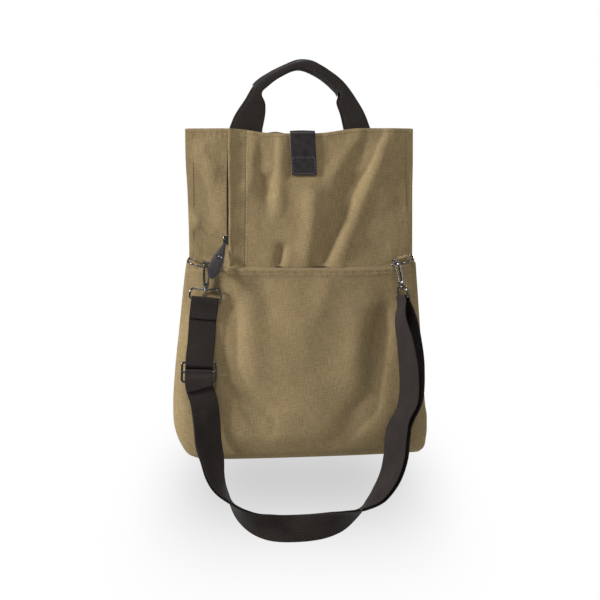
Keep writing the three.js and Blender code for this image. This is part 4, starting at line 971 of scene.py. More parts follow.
def held_flat(x: Array, z: Array, bumps: Array) -> Array:
    """Keeps the cloth's unevenness off the handles' tails inside it and the tab outside it."""
    inward = -0.4 - FREE_BUMP * smoothstep(-z, *TAILS_FREE)
    beside_tab = smoothstep(np.abs(x - TAB_X), *TAB_SIDES)
    outward = 0.25 + FREE_BUMP * np.maximum(smoothstep(-z, *TAB_FREE), beside_tab)
    return np.clip(bumps, inward, outward)


@dataclass
class CanvasTube:
    """The bag's tube of canvas: outer wall, hemmed mouth, inner wall and floor in one closed skin."""

    columns: int = 176
    rows: int = 176
    hem: float = 9.0
    hem_extra: float = 0.5
    back_peek: float = 3.4
    back_peek_x: float = -34.0
    floor_rings: int = 9

    def across(self) -> Array:
        """Places across a wall, closer near the seams."""
        even = np.linspace(-1, 1, self.columns + 1)
        return 0.35 * even + 0.65 * np.sin(even * math.pi / 2)

    def wall(self, wall: Wall, rise: Array, depth_in: Array) -> Array:
        """Points of one wall for each rise and each place across."""
        u = self.across()[None, :]
        if wall is Wall.BACK:
            u = u[:, ::-1][:, 1:-1]
        points = bag_point(u, rise[:, None], wall, depth_in[:, None])
        calm = np.minimum(1, (1 - u**2) * 6)
        seed = SEED if wall is Wall.FRONT else SEED + 40
        bumps = detail_relief(points[..., 0], points[..., 2], rise[:, None], seed) * calm
        bumps = np.maximum(bumps, -0.5 * np.abs(points[..., 1]))
        bumps = held_flat(points[..., 0], points[..., 2], bumps)
        points[..., 1] += wall.value * bumps
        near_top = smoothstep(rise, 0.9, 1.0)[:, None]
        if wall is Wall.BACK:
            peek = self.back_peek * np.exp(-(((points[..., 0] - self.back_peek_x) / 13) ** 2))
            points[..., 2] += peek * near_top
        return points

    def ring(self, rise: Array, depth_in: Array) -> Array:
        """Closed rings: the front from left to right and the back from right to left."""
        front = self.wall(Wall.FRONT, rise, depth_in)
        back = self.wall(Wall.BACK, rise, depth_in)
        return np.concatenate([front, back], axis=1)

    def build(self, finishes: Finishes) -> None:
        """Builds the skin from the middle of the floor up, over the mouth and down the inside."""
        even = np.linspace(0, 1, self.rows)
        rise = 0.8 * even + 0.2 * even**2
        to_hem = (1 - rise) * BAG_HEIGHT
        hem = self.hem_extra * (1 - smoothstep(to_hem, self.hem - 0.8, self.hem + 0.8))
        outer = self.ring(rise, -hem)
        inner_rise = np.concatenate([np.linspace(1, 0.94, 10), np.linspace(0.92, 0.012, 34)])
        inner_depth = np.full(len(inner_rise), CLOTH)
        inner = self.ring(inner_rise, inner_depth)
        lip = []
        for share in (0.25, 0.5, 0.75):
            turn = share * math.pi
            arc = outer[-1] * (1 + math.cos(turn)) / 2 + inner[0] * (1 - math.cos(turn)) / 2
            arc = arc + np.array([0, 0, math.sin(turn) * 0.9])
            lip.append(arc)
        shrink = np.linspace(0.06, 0.94, self.floor_rings)
        centre = outer[0].mean(0)
        floor = [centre + (outer[0] - centre) * s - np.array([0, 0, 2.2 * (1 - s**2)]) for s in shrink]
        inner_centre = inner[-1].mean(0)
        inside = [inner_centre + (inner[-1] - inner_centre) * s for s in shrink[::-2]]
        points = np.concatenate([np.stack(floor), outer, np.stack(lip), inner, np.stack(inside)])
        u = np.concatenate([self.across(), 2 - self.across()[::-1][1:]]) * HALF_WIDTH
        along = points[:, self.columns // 2]
        v = lengths_along(along)
        inside_from = len(floor) + len(rise) + len(lip)
        slots = np.zeros((len(points) - 1, points.shape[1]), int)
        # The inside faces from here on get the darker canvas, as painted shade.
        slots[inside_from + 6 :] = 1
        grid = Grid(points, uv_of(v, u), False, True, True, slots)
        piece("canvas_tube", [grid], [finishes.canvas, finishes.lining], "bag", "canvas", "bag_body")

    def hem_rows(self) -> list[tuple[Array, Array]]:
        """The stitch line below the mouth, on both walls."""
        rise = 1 - 4.3 / BAG_HEIGHT
        rows = []
        for wall in Wall:
            u = np.linspace(-0.985, 0.985, 260)
            points = bag_point(u, np.full(u.shape, rise), wall, -self.hem_extra)
            seed = SEED if wall is Wall.FRONT else SEED + 40
            bumps = detail_relief(points[:, 0], points[:, 2], rise, seed)
            points[:, 1] += wall.value * held_flat(points[:, 0], points[:, 2], bumps)
            rows.append((points, np.tile([0.0, wall.value, 0.0], (len(points), 1))))
        return rows


def off_front(u: Array, rise: Array, out: Array | float) -> Array:
    """A point of the front wall moved out of the cloth along the section's normal."""
    small = 0.002
    here = bag_point(u, rise, Wall.FRONT)
    left = bag_point(np.clip(u - small, -1, 1), rise, Wall.FRONT)
    right = bag_point(np.clip(u + small, -1, 1), rise, Wall.FRONT)
    along = unit((right - left) * np.array([1, 1, 0]))
    normal = np.stack([along[..., 1], -along[..., 0], np.zeros(along.shape[:-1])], -1)
    return here + normal * np.broadcast_to(out, here.shape[:-1])[..., None]


def sheet_grid(outer: Array, inner: Array, uv: Array) -> Grid:
    """A sheet with thickness whose sections, row by row, run round both faces.

    Each row's loop goes along the outer face and back along the inner one, with a round edge at
    both ends, and the first and last rows are closed with a pole.
    """
    half = (outer - inner) / 2
    middle = (outer + inner) / 2
    thick = np.linalg.norm(half, axis=-1, keepdims=True)
    ends = []
    for column, way in ((-1, 1), (0, -1)):
        beside = -2 if column == -1 else 1
        outward = unit(outer[:, column] - outer[:, beside])
        arcs = []
        for share in (0.25, 0.5, 0.75):
            turn = math.pi * share
            flip = way * math.cos(turn)
            beyond = outward * thick[:, column] * math.sin(turn)
            arcs.append(middle[:, column] + half[:, column] * flip + beyond)
        ends.append(np.stack(arcs, 1))
    points = np.concatenate([outer, ends[0], inner[:, ::-1], ends[1]], axis=1)
    far, near = uv[:, -1:], uv[:, :1]
    full = np.concatenate([uv, np.repeat(far, 3, 1), uv[:, ::-1], np.repeat(near, 3, 1), uv[:, :1]], axis=1)
    return Grid(points, full, False, True, True)


@dataclass
class Pocket:
    """The outer layer of canvas on the lower front, with a hem along its top edge."""

    columns: int = 150
    rows: int = 120
    hem: float = 10.0
    hem_extra: float = 0.7
    puff: float = 0.5
    low_rise: float = 0.006
    blend: float = 0.075
    rim_lift: float = 2.4
    rim_run: float = 15.0
    sunk: float = 0.5

    def faces(self) -> tuple[Array, Array, Array]:
        """The outer face, the inner face and the uv values."""
        even = np.linspace(-1, 1, self.columns)
        u = (0.4 * even + 0.6 * np.sin(even * math.pi / 2)) * 0.996
        rise = np.linspace(self.low_rise, FOLD_LINE, self.rows)
        to_hem = (FOLD_LINE - rise) * BAG_HEIGHT
        hem = self.hem_extra * (1 - smoothstep(to_hem, self.hem - 0.7, self.hem + 0.7))
        groove = -0.25 * np.exp(-(((to_hem - 4.2) / 0.7) ** 2))
        grid_u, grid_rise = np.meshgrid(u, rise)
        base = off_front(grid_u, grid_rise, GAP)
        calm = np.minimum(1, (1 - grid_u**2) * 6)
        bumps = detail_relief(base[..., 0], base[..., 2], grid_rise, SEED + 7) * calm
        pucker = 0.2 * np.sin(base[..., 0] * 0.55) * np.exp(-((to_hem[:, None] - 4) / 5) ** 2)
        low = smoothstep(grid_rise, self.low_rise, self.low_rise + self.blend)
        lift = np.maximum(-1.2, 0.75 + bumps + self.puff * calm + pucker * calm) * low
        rim = self.rim_lift * np.exp(-((to_hem / self.rim_run) ** 2))[:, None]
        rim = rim * np.minimum(1, (1 - grid_u**2) * 3)
        under = (GAP + self.sunk) * low - self.sunk + lift + rim
        inner = off_front(grid_u, grid_rise, under)
        hemmed = (hem + groove)[:, None] * calm
        outer = off_front(grid_u, grid_rise, under + POCKET_CLOTH * low + 0.05 + hemmed)
        uv = uv_of(rise * BAG_HEIGHT, u * HALF_WIDTH)
        return outer, inner, uv

    def build(self, finishes: Finishes) -> None:
        """Builds the pocket's panel."""
        outer, inner, uv = self.faces()
        order = slice(None, None, -1)
        grid = sheet_grid(outer[order], inner[order], uv[order])
        piece("pocket_panel", [grid], [finishes.canvas], "bag", "canvas", "front_pocket")

    def hem_row(self) -> tuple[Array, Array]:
        """The stitch line below the pocket's top edge."""
        outer, _, _ = self.faces()
        down = int(round(4.2 / BAG_HEIGHT / (FOLD_LINE - self.low_rise) * (self.rows - 1)))
        path = outer[-1 - down, 2:-2]
        return path, np.tile([0.0, -1.0, 0.0], (len(path), 1))


@dataclass
class Placket:
    """The flap over the upright zip, with the zip's tape and coil behind its free edge, and the dark tape
    showing past that edge partly as a painted shadow line.
    """

    columns: int = 34
    rows: int = 130
    overlap: float = 6.0
    roll: float = 0.7
    edge_lift: float = 1.3
    tape_width: float = 15.0
    # How far the dark tape shows past the flap's edge, partly as a painted shadow line.
    tape_shown: float = 4.2
    slider_rise: float = 0.68
    coil: float = 1.15

    def point(self, reach: Array, rise: Array, out: Array) -> Array:
        """Points at a reach in millimetres left of the seam and out from the panel beside it."""
        u = PLACKET_SEAM - reach / (HALF_WIDTH * BODY_ROWS[-1, 2])
        points = bag_point(u, rise, Wall.FRONT, 0.0, False)
        bumps = detail_relief(points[..., 0], points[..., 2], rise, SEED)
        points[..., 1] -= out + held_flat(points[..., 0], points[..., 2], bumps)
        return points

    def build(self, finishes: Finishes) -> None:
        """Builds the flap, the zip's tape and its coil."""
        reach = np.linspace(-self.overlap, PLACKET_WIDTH, self.columns)
        rise = np.linspace(FOLD_LINE - 0.004, 1.0, self.rows)
        grid_reach, grid_rise = np.meshgrid(reach, rise)
        share = np.clip(grid_reach / PLACKET_WIDTH, 0, 1)
        wave = 0.8 * np.sin(grid_rise * 31.0) + 0.55 * np.sin(grid_rise * 73.0 + 1.0)
        hold = smoothstep(grid_rise, FOLD_LINE, FOLD_LINE + 0.05)
        lift = (PLACKET_LIFT + self.edge_lift + wave) * share**1.5 * (0.35 + 0.65 * hold)
        proud = 0.4 * smoothstep(grid_reach, -self.overlap, -self.overlap + 2.5) - 0.25
        edge = self.roll * np.exp(-(((PLACKET_WIDTH - 2.0 - grid_reach) / 2.2) ** 2))
        groove = -0.35 * np.exp(-((grid_reach / 0.9) ** 2))
        outer = self.point(grid_reach, grid_rise, lift + proud + edge + groove)
        thick = PLACKET_CLOTH * smoothstep(grid_reach, -0.5, 2.5) + 0.5
        inner = outer + np.stack([0 * thick, thick, 0 * thick], -1)
        uv = uv_of(rise * BAG_HEIGHT, reach)
        piece("placket_flap", [sheet_grid(outer, inner, uv)], [finishes.canvas], "bag", "canvas", "placket")
        across = np.linspace(-self.tape_width, 0.0, 12)
        high = np.linspace(FOLD_LINE + 0.01, 0.985, 100)
        grid_across, grid_high = np.meshgrid(across, high)
        # Painted shadow: the dark tape shows past the flap's free edge as the shadow line under it, narrower
        # near the mouth and only above the slider.
        shown = self.tape_shown * (1 - 0.75 * smoothstep(grid_high, 0.8, 0.99))
        shown = shown * smoothstep(grid_high, self.slider_rise - 0.03, self.slider_rise)
        grid_across = grid_across + PLACKET_WIDTH + shown
        under = -PLACKET_CLOTH - GAP + 0.15
        back = self.point(grid_across, grid_high, np.full(grid_across.shape, under))
        front = self.point(grid_across, grid_high, np.full(grid_across.shape, under + 0.6))
        sheet = sheet_grid(front, back, uv_of(high * BAG_HEIGHT, across))
        piece("zip_tape_with_painted_shadow", [sheet], [finishes.tape], "bag", "webbing")
        spine = self.point(np.full(100, PLACKET_WIDTH - 3.0), high, np.full(100, under + 0.7 + self.coil))
        spine = resample(spine, 420)
        ridges = 1 + 0.16 * np.sin(np.arange(420) * math.pi / 2.0)
        piece("zip_coil", [tube(spine, self.coil, sizes=ridges, count=10)], [finishes.tape], "bag", "webbing")

    def seam_row(self) -> tuple[Array, Array]:
        """The stitch line that holds the flap, just beside its seam."""
        rise = np.linspace(FOLD_LINE + 0.008, 0.985, 120)
        path = self.point(np.zeros(rise.shape), rise, np.full(rise.shape, 0.1))
        return path, np.tile([0.0, -1.0, 0.0], (len(path), 1))


# Handles.

HANDLE_SPAN = 194.6
HANDLE_RISE = 100.0
HANDLE_LEFT = -95.9
HANDLE_TAIL = 45.0
HANDLE_CROWN = 0.853
HANDLE_PAIR = 8.4
HANDLE_SHIFT = 4.0
LEG_GAP = 0.9
GRIP_LEATHER = 1.5
WEB_CLOTH = 1.6
HANDLE_BASE_Z = -HANDLE_CROWN * HANDLE_RISE

HANDLE_ROWS = np.array([
    (0.0, 0.0, 0.221, 0.0, 1.0),
    (0.043, 0.201, 0.244, 0.252, 1.0),
    (0.112, 0.406, 0.242, 0.392, 1.4),
    (0.19, 0.645, 0.223, 0.517, 2.2),
    (0.29, 0.783, 0.29, 0.648, 2.2),
    (0.389, 0.88, 0.381, 0.769, 2.2),
    (0.496, 0.958, 0.496, HANDLE_CROWN, 2.2),
    (0.6, 0.945, 0.622, 0.759, 2.2),
    (0.703, 0.834, 0.726, 0.601, 2.2),
    (0.806, 0.671, 0.777, 0.49, 2.2),
    (0.909, 0.392, 0.771, 0.378, 1.4),
    (0.957, 0.224, 0.8, 0.201, 1.0),
    (1.0, 0.0, 0.823, 0.0, 1.0),
])


@dataclass
class Handle:
    """One webbing handle: flat legs inside the mouth and a grip folded along its length."""

    wall: Wall
    steps: int = 150

    def sections(self, t: Array) -> tuple[Array, Array, Array]:
        """The outer and inner edge points and the half thickness at places t along the handle."""
        shift = np.array([HANDLE_LEFT, 0.0, HANDLE_BASE_Z])
        if self.wall is Wall.BACK:
            shift = shift + np.array([-HANDLE_SHIFT, 0.0, GRIP_LEATHER + GAP])
        zero = np.zeros(len(HANDLE_ROWS))
        outer_rows = np.stack([HANDLE_ROWS[:, 0] * HANDLE_SPAN, zero, HANDLE_ROWS[:, 1] * HANDLE_RISE], -1)
        inner_rows = np.stack([HANDLE_ROWS[:, 2] * HANDLE_SPAN, zero, HANDLE_ROWS[:, 3] * HANDLE_RISE], -1)
        plies = np.stack([HANDLE_ROWS[:, 4], zero, zero], -1)
        inside = np.clip(t, 0, 1)
        outer = catmull(outer_rows, inside) + shift
        inner = catmull(inner_rows, inside) + shift
        half = catmull(plies, inside)[:, 0] * WEB_CLOTH / 2
        beyond = np.where(t < 0, -t, np.maximum(0, t - 1)) * HANDLE_TAIL
        outer[:, 2] -= beyond
        inner[:, 2] -= beyond
        share = np.linspace(0, 1, 5)[None, :, None]
        spots = outer[:, None] * (1 - share) + inner[:, None] * share
        z = np.minimum(spots[..., 2], MOUTH_Z - MOUTH_DIP - 3)
        walls = cloth_y(spots[..., 0], z, self.wall, CLOTH)
        wall_y = walls.max(1) if self.wall is Wall.FRONT else walls.min(1)
        up = smoothstep((outer[:, 2] + inner[:, 2]) / 2, MOUTH_Z + 6, MOUTH_Z + 60)
        side = self.wall.value
        y = (wall_y - side * (LEG_GAP + half)) * (1 - up) + side * HANDLE_PAIR / 2 * up
        outer[:, 1] = y
        inner[:, 1] = y
        return outer, inner, half

    def places(self) -> Array:
        """Places along the handle, with its tails below the mouth."""
        tail = np.linspace(1, 0.05, 14)
        return np.concatenate([-tail, np.linspace(0, 1, self.steps), 1 + tail[::-1]])

    def build(self, finishes: Finishes) -> None:
        """Builds the band: a round-edged section whose inner end opens into two plies at the grip."""
        t = self.places()
        outer, inner, half = self.sections(t)
        width = np.linalg.norm(outer - inner, axis=1)
        way = unit(inner - outer)
        middle = (outer + inner) / 2
        section = rounded_section(1.0, 1.0, 0.999, 7, 12)
        folded = smoothstep(half * 2 / WEB_CLOTH, 1.2, 2.0)
        end = np.clip(section[:, 0], -1, 1)
        x = end[None, :] * width[:, None] / 2
        slim = 1 - 0.25 * folded[:, None] * smoothstep(end, 0.4, 1.0)[None, :]
        y = section[None, :, 1] * half[:, None] * slim
        notch = folded[:, None] * np.exp(-((section[None, :, 1] / 0.35) ** 2)) * (end[None, :] > 0.6) * 1.3
        x = x - notch
        thick = np.array([0.0, 1.0, 0.0])
        points = middle[:, None] + x[..., None] * way[:, None] + y[..., None] * thick
        across = np.concatenate([x, x[:, :1]], 1) + 19.0
        along = np.broadcast_to(lengths_along(middle)[:, None], across.shape)
        grid = Grid(points, np.stack([across, along], -1), False, True, True)
        word = "front" if self.wall is Wall.FRONT else "back"
        piece(f"handle_band_{word}", [grid], [finishes.webbing], "bag", "webbing", f"handle_{word}")

    def stitch_rows(self) -> list[tuple[Array, Array]]:
        """The stitch line along the folded grip, near its open edge, on the handle's outer face."""
        t = np.linspace(0.2, 0.8, 160)
        outer, inner, half = self.sections(t)
        line = inner + unit(outer - inner) * 3.2
        rows = []
        for side in (-1, 1):
            path = line.copy()
            path[:, 1] += side * (half * 0.86)
            rows.append((path, np.tile([0.0, float(side), 0.0], (len(path), 1))))
        return rows


@dataclass
class Grip:
    """The leather sleeve round the back handle, with its edges sewn together below."""

    start: float = 0.235
    end: float = 0.765
    steps: int = 110

    def build(self, handle: Handle, finishes: Finishes) -> None:
        """Builds the sleeve as an outer and an inner tube, closed at both ends."""
        t = np.linspace(self.start, self.end, self.steps)
        outer, inner, half = handle.sections(t)
        way = unit(inner - outer)
        middle = (outer + inner) / 2
        section = rounded_section(1.0, 1.0, 0.999, 8, 12)
        loops = []
        for margin in (GAP + GRIP_LEATHER, GAP):
            half_width = np.linalg.norm(outer - inner, axis=1) / 2 + margin
            deep = half + margin
            x = section[None, :, 0] * half_width[:, None]
            y = section[None, :, 1] * deep[:, None]
            lip = 1.6 * np.exp(-((section[None, :, 1] / 0.4) ** 2)) * (section[None, :, 0] > 0.6)
            if margin > GAP:
                x = x + lip
            points = middle[:, None] + x[..., None] * way[:, None] + y[..., None] * np.array([0.0, 1.0, 0.0])
            loops.append(points)
        rows = np.concatenate([loops[0], loops[1][::-1]])
        along = lengths_along(middle)
        v = np.concatenate([along, along[::-1] + 200, [along[0]]])
        around = lengths_along(np.vstack([loops[0][0], loops[0][0][:1]]))
        slots = np.zeros((len(rows), rows.shape[1]), int)
        slots[[self.steps - 1, -1]] = 1
        slots[:, np.abs(section[:, 1]) < 0.3] = 0
        grid = Grid(rows, uv_of(v, around), True, True, False, slots)
        piece("grip_sleeve", [grid], [finishes.leather, finishes.raw_edge], "bag", "leather", "handle_grip")


# Closure tab.

# Radius and height of the snap's cap, from its rim to its crown.
SNAP_PROFILE = (
    (5.9, 0.1), (6.1, 0.5), (5.9, 1.1), (5.2, 1.4), (4.6, 1.2),
    (4.2, 1.5), (3.2, 2.4), (1.8, 2.9), (0.4, 3.0),
)


@dataclass
class ClosureTab:
    """The leather strip over the mouth, with its sewn box and its snap."""

    width: float = 35.0
    leather: float = 2.2
    front: float = 57.0
    back: float = 46.0
    x: float = TAB_X
    hover: float = 3.0
    snap_from_end: float = 11.0
    box_from: float = 24.5
    inset: float = 2.2
    lean: float = 2.6
    camber: float = 0.7

    def path(self) -> Array:
        """The strip's middle line from the front's lower end over the mouth to the back's."""
        out = GAP + 0.6 + self.leather / 2
        edge_z = MOUTH_Z - MOUTH_DIP
        top_z = edge_z + self.hover

        def down(wall: Wall, length: float, steps: int) -> Array:
            k = np.arange(steps)
            z = edge_z - length * (k + 0.4) / (steps - 0.6)
            spots = self.x + np.array([-0.5, 0, 0.5])[None, :] * self.width
            depth = cloth_y(spots, z[:, None] + 0 * spots, wall)
            y = depth.min(1) if wall is Wall.FRONT else depth.max(1)
            lean = self.lean * (edge_z - z) / self.front * (wall is Wall.FRONT)
            return np.stack([self.x + lean, y + wall.value * out, z], -1)

        front = down(Wall.FRONT, self.front, 6)
        back = down(Wall.BACK, self.back, 5)
        shoulder = min(abs(front[0, 1]), abs(back[0, 1]))
        share = np.array([-1, -0.8, 0.8, 1])
        high = np.where(np.abs(share) < 1, top_z, top_z - self.hover * 0.6)
        over = np.stack([np.full(4, self.x), share * shoulder, high], -1)
        return np.concatenate([front[::-1], over, back])

    def frames(self, count: int = 170) -> tuple[Array, Array]:
        """Even points along the strip and the direction out of it."""
        points = self.path()
        fine = catmull(points, np.linspace(0, 1, 900))
        path = resample(fine, count)
        along = tangents(path)
        out = unit(np.cross(np.array([1.0, 0.0, 0.0]), along))
        return path, out

    def build(self, finishes: Finishes) -> None:
        """Builds the strip and the snap's cap."""
        path, out = self.frames()
        section = rounded_section(self.width / 2, self.leather / 2, 0.7, 5, 18)
        wide = np.tile([-1.0, 0.0, 0.0], (len(path), 1))
        grid = sweep(path, wide, out, section)
        edge = np.abs(section[:, 0]) > self.width / 2 - 0.35
        slots = np.zeros((len(path) - 1, len(section)), int)
        slots[:, edge] = 1
        along = lengths_along(path)
        aside = grid.points[..., 0] - path[:, :1]
        half = self.width / 2
        camber = self.camber * np.cos(np.clip(aside, -half, half) / self.width * math.pi)
        lift = camber * smoothstep(along, self.box_from, self.box_from + 14)[:, None]
        lift = lift + self.groove(along[:, None], aside)
        points = grid.points + out[:, None] * lift[..., None]
        strip = Grid(points, grid.uv, False, True, True, slots)
        piece("tab_strip", [strip], [finishes.leather, finishes.raw_edge], "bag", "leather", "closure_tab")
        up = unit(path[-2] - path[-1])
        centre = path[-1] + up * self.snap_from_end + out[-1] * (self.leather / 2 + self.camber - 0.2)
        cap = turned_profile(centre, out[-1], SNAP_PROFILE, 48)
        piece("snap_cap", [cap], [finishes.metal], "bag", "metal", "tab_snap")

    def groove(self, along: Array, across: Array) -> Array:
        """The leather pressed in by the stitches of the sewn box, as a depth below its face."""
        inside = (along < self.box_from + 1) & (along > self.inset - 1)
        beside = np.abs(np.abs(across) - self.width / 2 + self.inset)
        ends = np.minimum(np.abs(along - self.inset), np.abs(along - self.box_from))
        ends = np.where(np.abs(across) < self.width / 2 - self.inset, ends, 9.0)
        near = np.minimum(np.where(inside, beside, 9.0), ends)
        return -0.45 * np.exp(-((near / 0.9) ** 2))

    def stitch_rows(self) -> list[tuple[Array, Array]]:
        """The sewn box on the front's lower end: two sides, its foot and its head."""
        path, out = self.frames(400)
        along = lengths_along(path)
        half = self.width / 2 - self.inset
        rows = []

        def at(length: Array, across: Array) -> tuple[Array, Array]:
            spot = np.stack([np.interp(length, along, path[:, k]) for k in range(3)], -1)
            way = np.stack([np.interp(length, along, out[:, k]) for k in range(3)], -1)
            spot = spot + across[:, None] * np.array([1.0, 0.0, 0.0]) + way * (self.leather / 2)
            return spot, way

        low, high = self.inset, self.box_from
        side = np.linspace(low, high, 40)
        cross = np.linspace(-half, half, 40)
        rows.append(at(side, np.full(40, -half)))
        rows.append(at(side, np.full(40, half)))
        rows.append(at(np.full(40, low), cross))
        rows.append(at(np.full(40, high), cross))
        return rows


# Rings, hooks and loops.

RING_WIDTH = 31.0
RING_SIDE = 15.0
RING_WIRE = 2.6
RING_TILT = 15.0
RING_DROOP = 14.0
RING_TAB_WIDTH = 13.0
HOOK_LENGTH = 36.0
HOOK_WIDTH = 13.0
HOOK_THICK = 4.6
HOOK_ARM = 2.9
HOOK_BASE = 7.0
HOOK_BASE_WIDTH = 7.0
CROWN_GAP = 0.9
GATE_SLACK = 0.3
GATE_BLADE = 1.7
GATE_THICK = 1.6
GATE_EYE = 1.75
BOSS_RADIUS = 3.2
BOSS_HEIGHT = 4.4
STUD_RADIUS = 1.3
PIN_PROFILE = ((1.25, 0.0), (1.25, 0.35), (1.0, 0.6), (0.2, 0.68))
LOOP_SLACK = 1.2
LOOP_HEIGHT = 17.0
LOOP_WIRE = 2.8
LOOP_CORNER = 6.0
WEB_WIDTH = 38.0
WEB_GAP = 0.5
ALONG_RING = {Side.LEFT: 10.5, Side.RIGHT: 22.0}
LOOP_TURN = {Side.LEFT: 0.0, Side.RIGHT: 76.0}
LOOP_PLUMB = {Side.LEFT: 1.0, Side.RIGHT: 0.4}


@dataclass
class Fittings:
    """The ring, snap hook, gate and strap loop of one side, placed by the swivel's joint."""

    side: Side
    frame: dict

    def joint(self, name: str) -> dict:
        """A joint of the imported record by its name."""
        return next(joint for joint in self.frame["joints"] if joint["name"] == name)

    def __post_init__(self) -> None:
        """Works out the directions of the hook, the ring and the loop."""
        swivel = self.joint(f"{self.side.word}_swivel")
        gate = self.joint(f"{self.side.word}_gate_hinge")
        self.base = np.array(swivel["pos_m"]) / MM
        self.up = unit(np.array(swivel["axis"], float))
        self.forward = unit(np.array(gate["axis"], float))
        self.across = np.cross(self.up, self.forward)
        self.pivot = np.array(gate["pos_m"]) / MM
        sign = self.side.sign
        tilt, droop = math.radians(RING_TILT), math.radians(RING_DROOP)
        self.inward = np.array([-sign * math.cos(tilt), 0.0, -math.sin(tilt)])
        hang = np.array([0.0, -math.cos(droop), -math.sin(droop)])
        self.ring_forward = unit(hang - self.inward * np.dot(hang, self.inward))
        rest = HOOK_LENGTH - HOOK_ARM - RING_WIRE / 2 - CROWN_GAP
        radius = (RING_WIDTH - RING_WIRE) / 2
        past = max(0.0, ALONG_RING[self.side] - RING_SIDE)
        width = math.sqrt(radius**2 - past**2)
        wire = self.base + self.up * rest
        self.bar = wire - self.inward * width - self.ring_forward * ALONG_RING[self.side]
        top = self.base - self.up * (GAP + BOSS_HEIGHT / 2)
        plumb = LOOP_PLUMB[self.side]
        self.down = unit(np.array([0, 0, -1.0]) * (1 - plumb) - self.up * plumb)
        wide = turned(np.array([-float(sign), 0, 0]), self.down, math.radians(LOOP_TURN[self.side]))
        self.wide = unit(wide - self.down * np.dot(wide, self.down))
        self.top = top
        self.loop_bar = top + self.down * (LOOP_HEIGHT - LOOP_WIRE)

    def add(
        self, name: str, grids: Sequence[Grid], finish: Finish, slot: str, node: str, body: str = "bag"
    ) -> None:
        """Makes a piece of this side, whose name and node end in the side's word."""
        word = self.side.word
        piece(f"{name}_{word}", grids, [finish], body, slot, f"{node}_{word}")

    def local(self, x: Array | float, y: Array | float, z: Array | float = 0.0) -> Array:
        """A point given across, up and forward from the hook's base."""
        x, y, z = np.broadcast_arrays(np.asarray(x, float), y, z)
        return self.base + x[..., None] * self.across + y[..., None] * self.up + z[..., None] * self.forward

    def ring(self, finishes: Finishes) -> None:
        """The D ring: a straight bar, two sides and a half circle, as one wire."""
        radius = (RING_WIDTH - RING_WIRE) / 2
        corner = 2.2
        turn = np.linspace(0, math.pi, 60)
        arc = np.stack([radius * np.cos(turn), RING_SIDE + radius * np.sin(turn)], -1)
        bend = np.linspace(0, math.pi / 2, 8)
        left = np.stack([-radius + corner - corner * np.cos(bend), corner - corner * np.sin(bend)], -1)
        right = np.stack([radius - corner + corner * np.sin(bend), corner - corner * np.cos(bend)], -1)
        flat = np.concatenate([arc, left, right])
        closed = resample(np.vstack([flat, flat[:1]]), 161)[:-1]
        path = self.bar + closed[:, :1] * self.inward + closed[:, 1:] * self.ring_forward
        normal = np.cross(self.inward, self.ring_forward)
        grid = tube(path, RING_WIRE / 2, True, count=22, normal=normal)
        self.add("d_ring", [grid], finishes.metal, "metal", "ring")

    def tab(self, finishes: Finishes) -> None:
        """The canvas tab folded round the ring's bar, with its ends against the bag."""
        inner = RING_WIRE / 2 + GAP
        outer = inner + 1.5
        along = np.linspace(-0.5, 0.5, 14) * RING_TAB_WIDTH
        centre = self.bar + along[:, None] * self.inward
        ups = np.array([-outer, 0, outer])
        spots_x = centre[:, :1] + 0 * ups
        spots_z = centre[:, 2:] + ups
        back = float(cloth_y(spots_x, spots_z, Wall.FRONT).min() - self.bar[1] - GAP)
        turn = np.linspace(math.pi / 2, 3 * math.pi / 2, 18)

        def bend(radius: float) -> Array:
            arc = radius * np.stack([np.cos(turn), np.sin(turn)], -1)
            legs = np.array([(back, radius), (back * 0.5, radius)])
            section = np.concatenate([legs, arc, (legs * [1, -1])[::-1]])
            return np.pad(section, ((0, 0), (1, 0)))[None] + centre[:, None]

        ring = np.concatenate([bend(outer), bend(inner)[::-1]]).transpose(1, 0, 2)
        around = np.linspace(0, 20, ring.shape[1] + 1)
        grid = Grid(ring, uv_of(np.arange(ring.shape[0]) * 1.0, around), False, True, True)
        self.add("ring_tab_cloth", [grid], finishes.canvas, "canvas", "ring_tab")

    def hook(self, finishes: Finishes) -> None:
        """The snap hook: a forged arm and crown, a base with the gate's pin, and the swivel's stud."""
        wide = HOOK_WIDTH / 2
        arm = HOOK_ARM / 2
        crown = HOOK_LENGTH - wide
        radius = wide - arm
        turn = np.linspace(math.pi, 0, 40)
        rise = np.linspace(0, 1, 24)
        arm_x = -radius * (0.45 + 0.55 * np.sin(rise * math.pi / 2))
        arm_y = HOOK_BASE * 0.45 + (crown - HOOK_BASE * 0.45) * rise
        nose_y = np.linspace(crown, crown - 2.0, 6)[1:]
        x = np.concatenate([arm_x[:-1], radius * np.cos(turn), np.full(5, radius)])
        y = np.concatenate([arm_y[:-1], crown + radius * np.sin(turn), nose_y])
        path = resample(np.stack([x, y], -1), 90)
        share = np.linspace(0, 1, 90)
        fat = 1.15 - 0.2 * share
        fat[-6:] *= np.array([1.0, 0.98, 0.93, 0.84, 0.7, 0.45])
        points = self.local(path[:, 0], path[:, 1])
        along = tangents(points)
        b = np.tile(self.forward, (90, 1))
        a = unit(np.cross(along, b))
        section = circle_section(1.0, 22) * [arm, 0.8 * HOOK_THICK / 2]
        bent = sweep(points, a, b, section, False, fat)
        block = rounded_section(HOOK_BASE_WIDTH / 2, HOOK_THICK / 2, 1.3, 6, 4)
        heights = np.array([0.0, 0.25, 0.9, 2.0, 4.0, HOOK_BASE - 1.2, HOOK_BASE - 0.4, HOOK_BASE])
        sizes = np.array([0.55, 0.7, 0.86, 0.98, 1.0, 1.0, 0.92, 0.8])
        base_path = self.local(0.0, heights)
        ones = np.ones((len(heights), 1))
        base = sweep(base_path, ones * self.across, ones * self.forward, block, False, sizes)
        pins = []
        for way in (-1, 1):
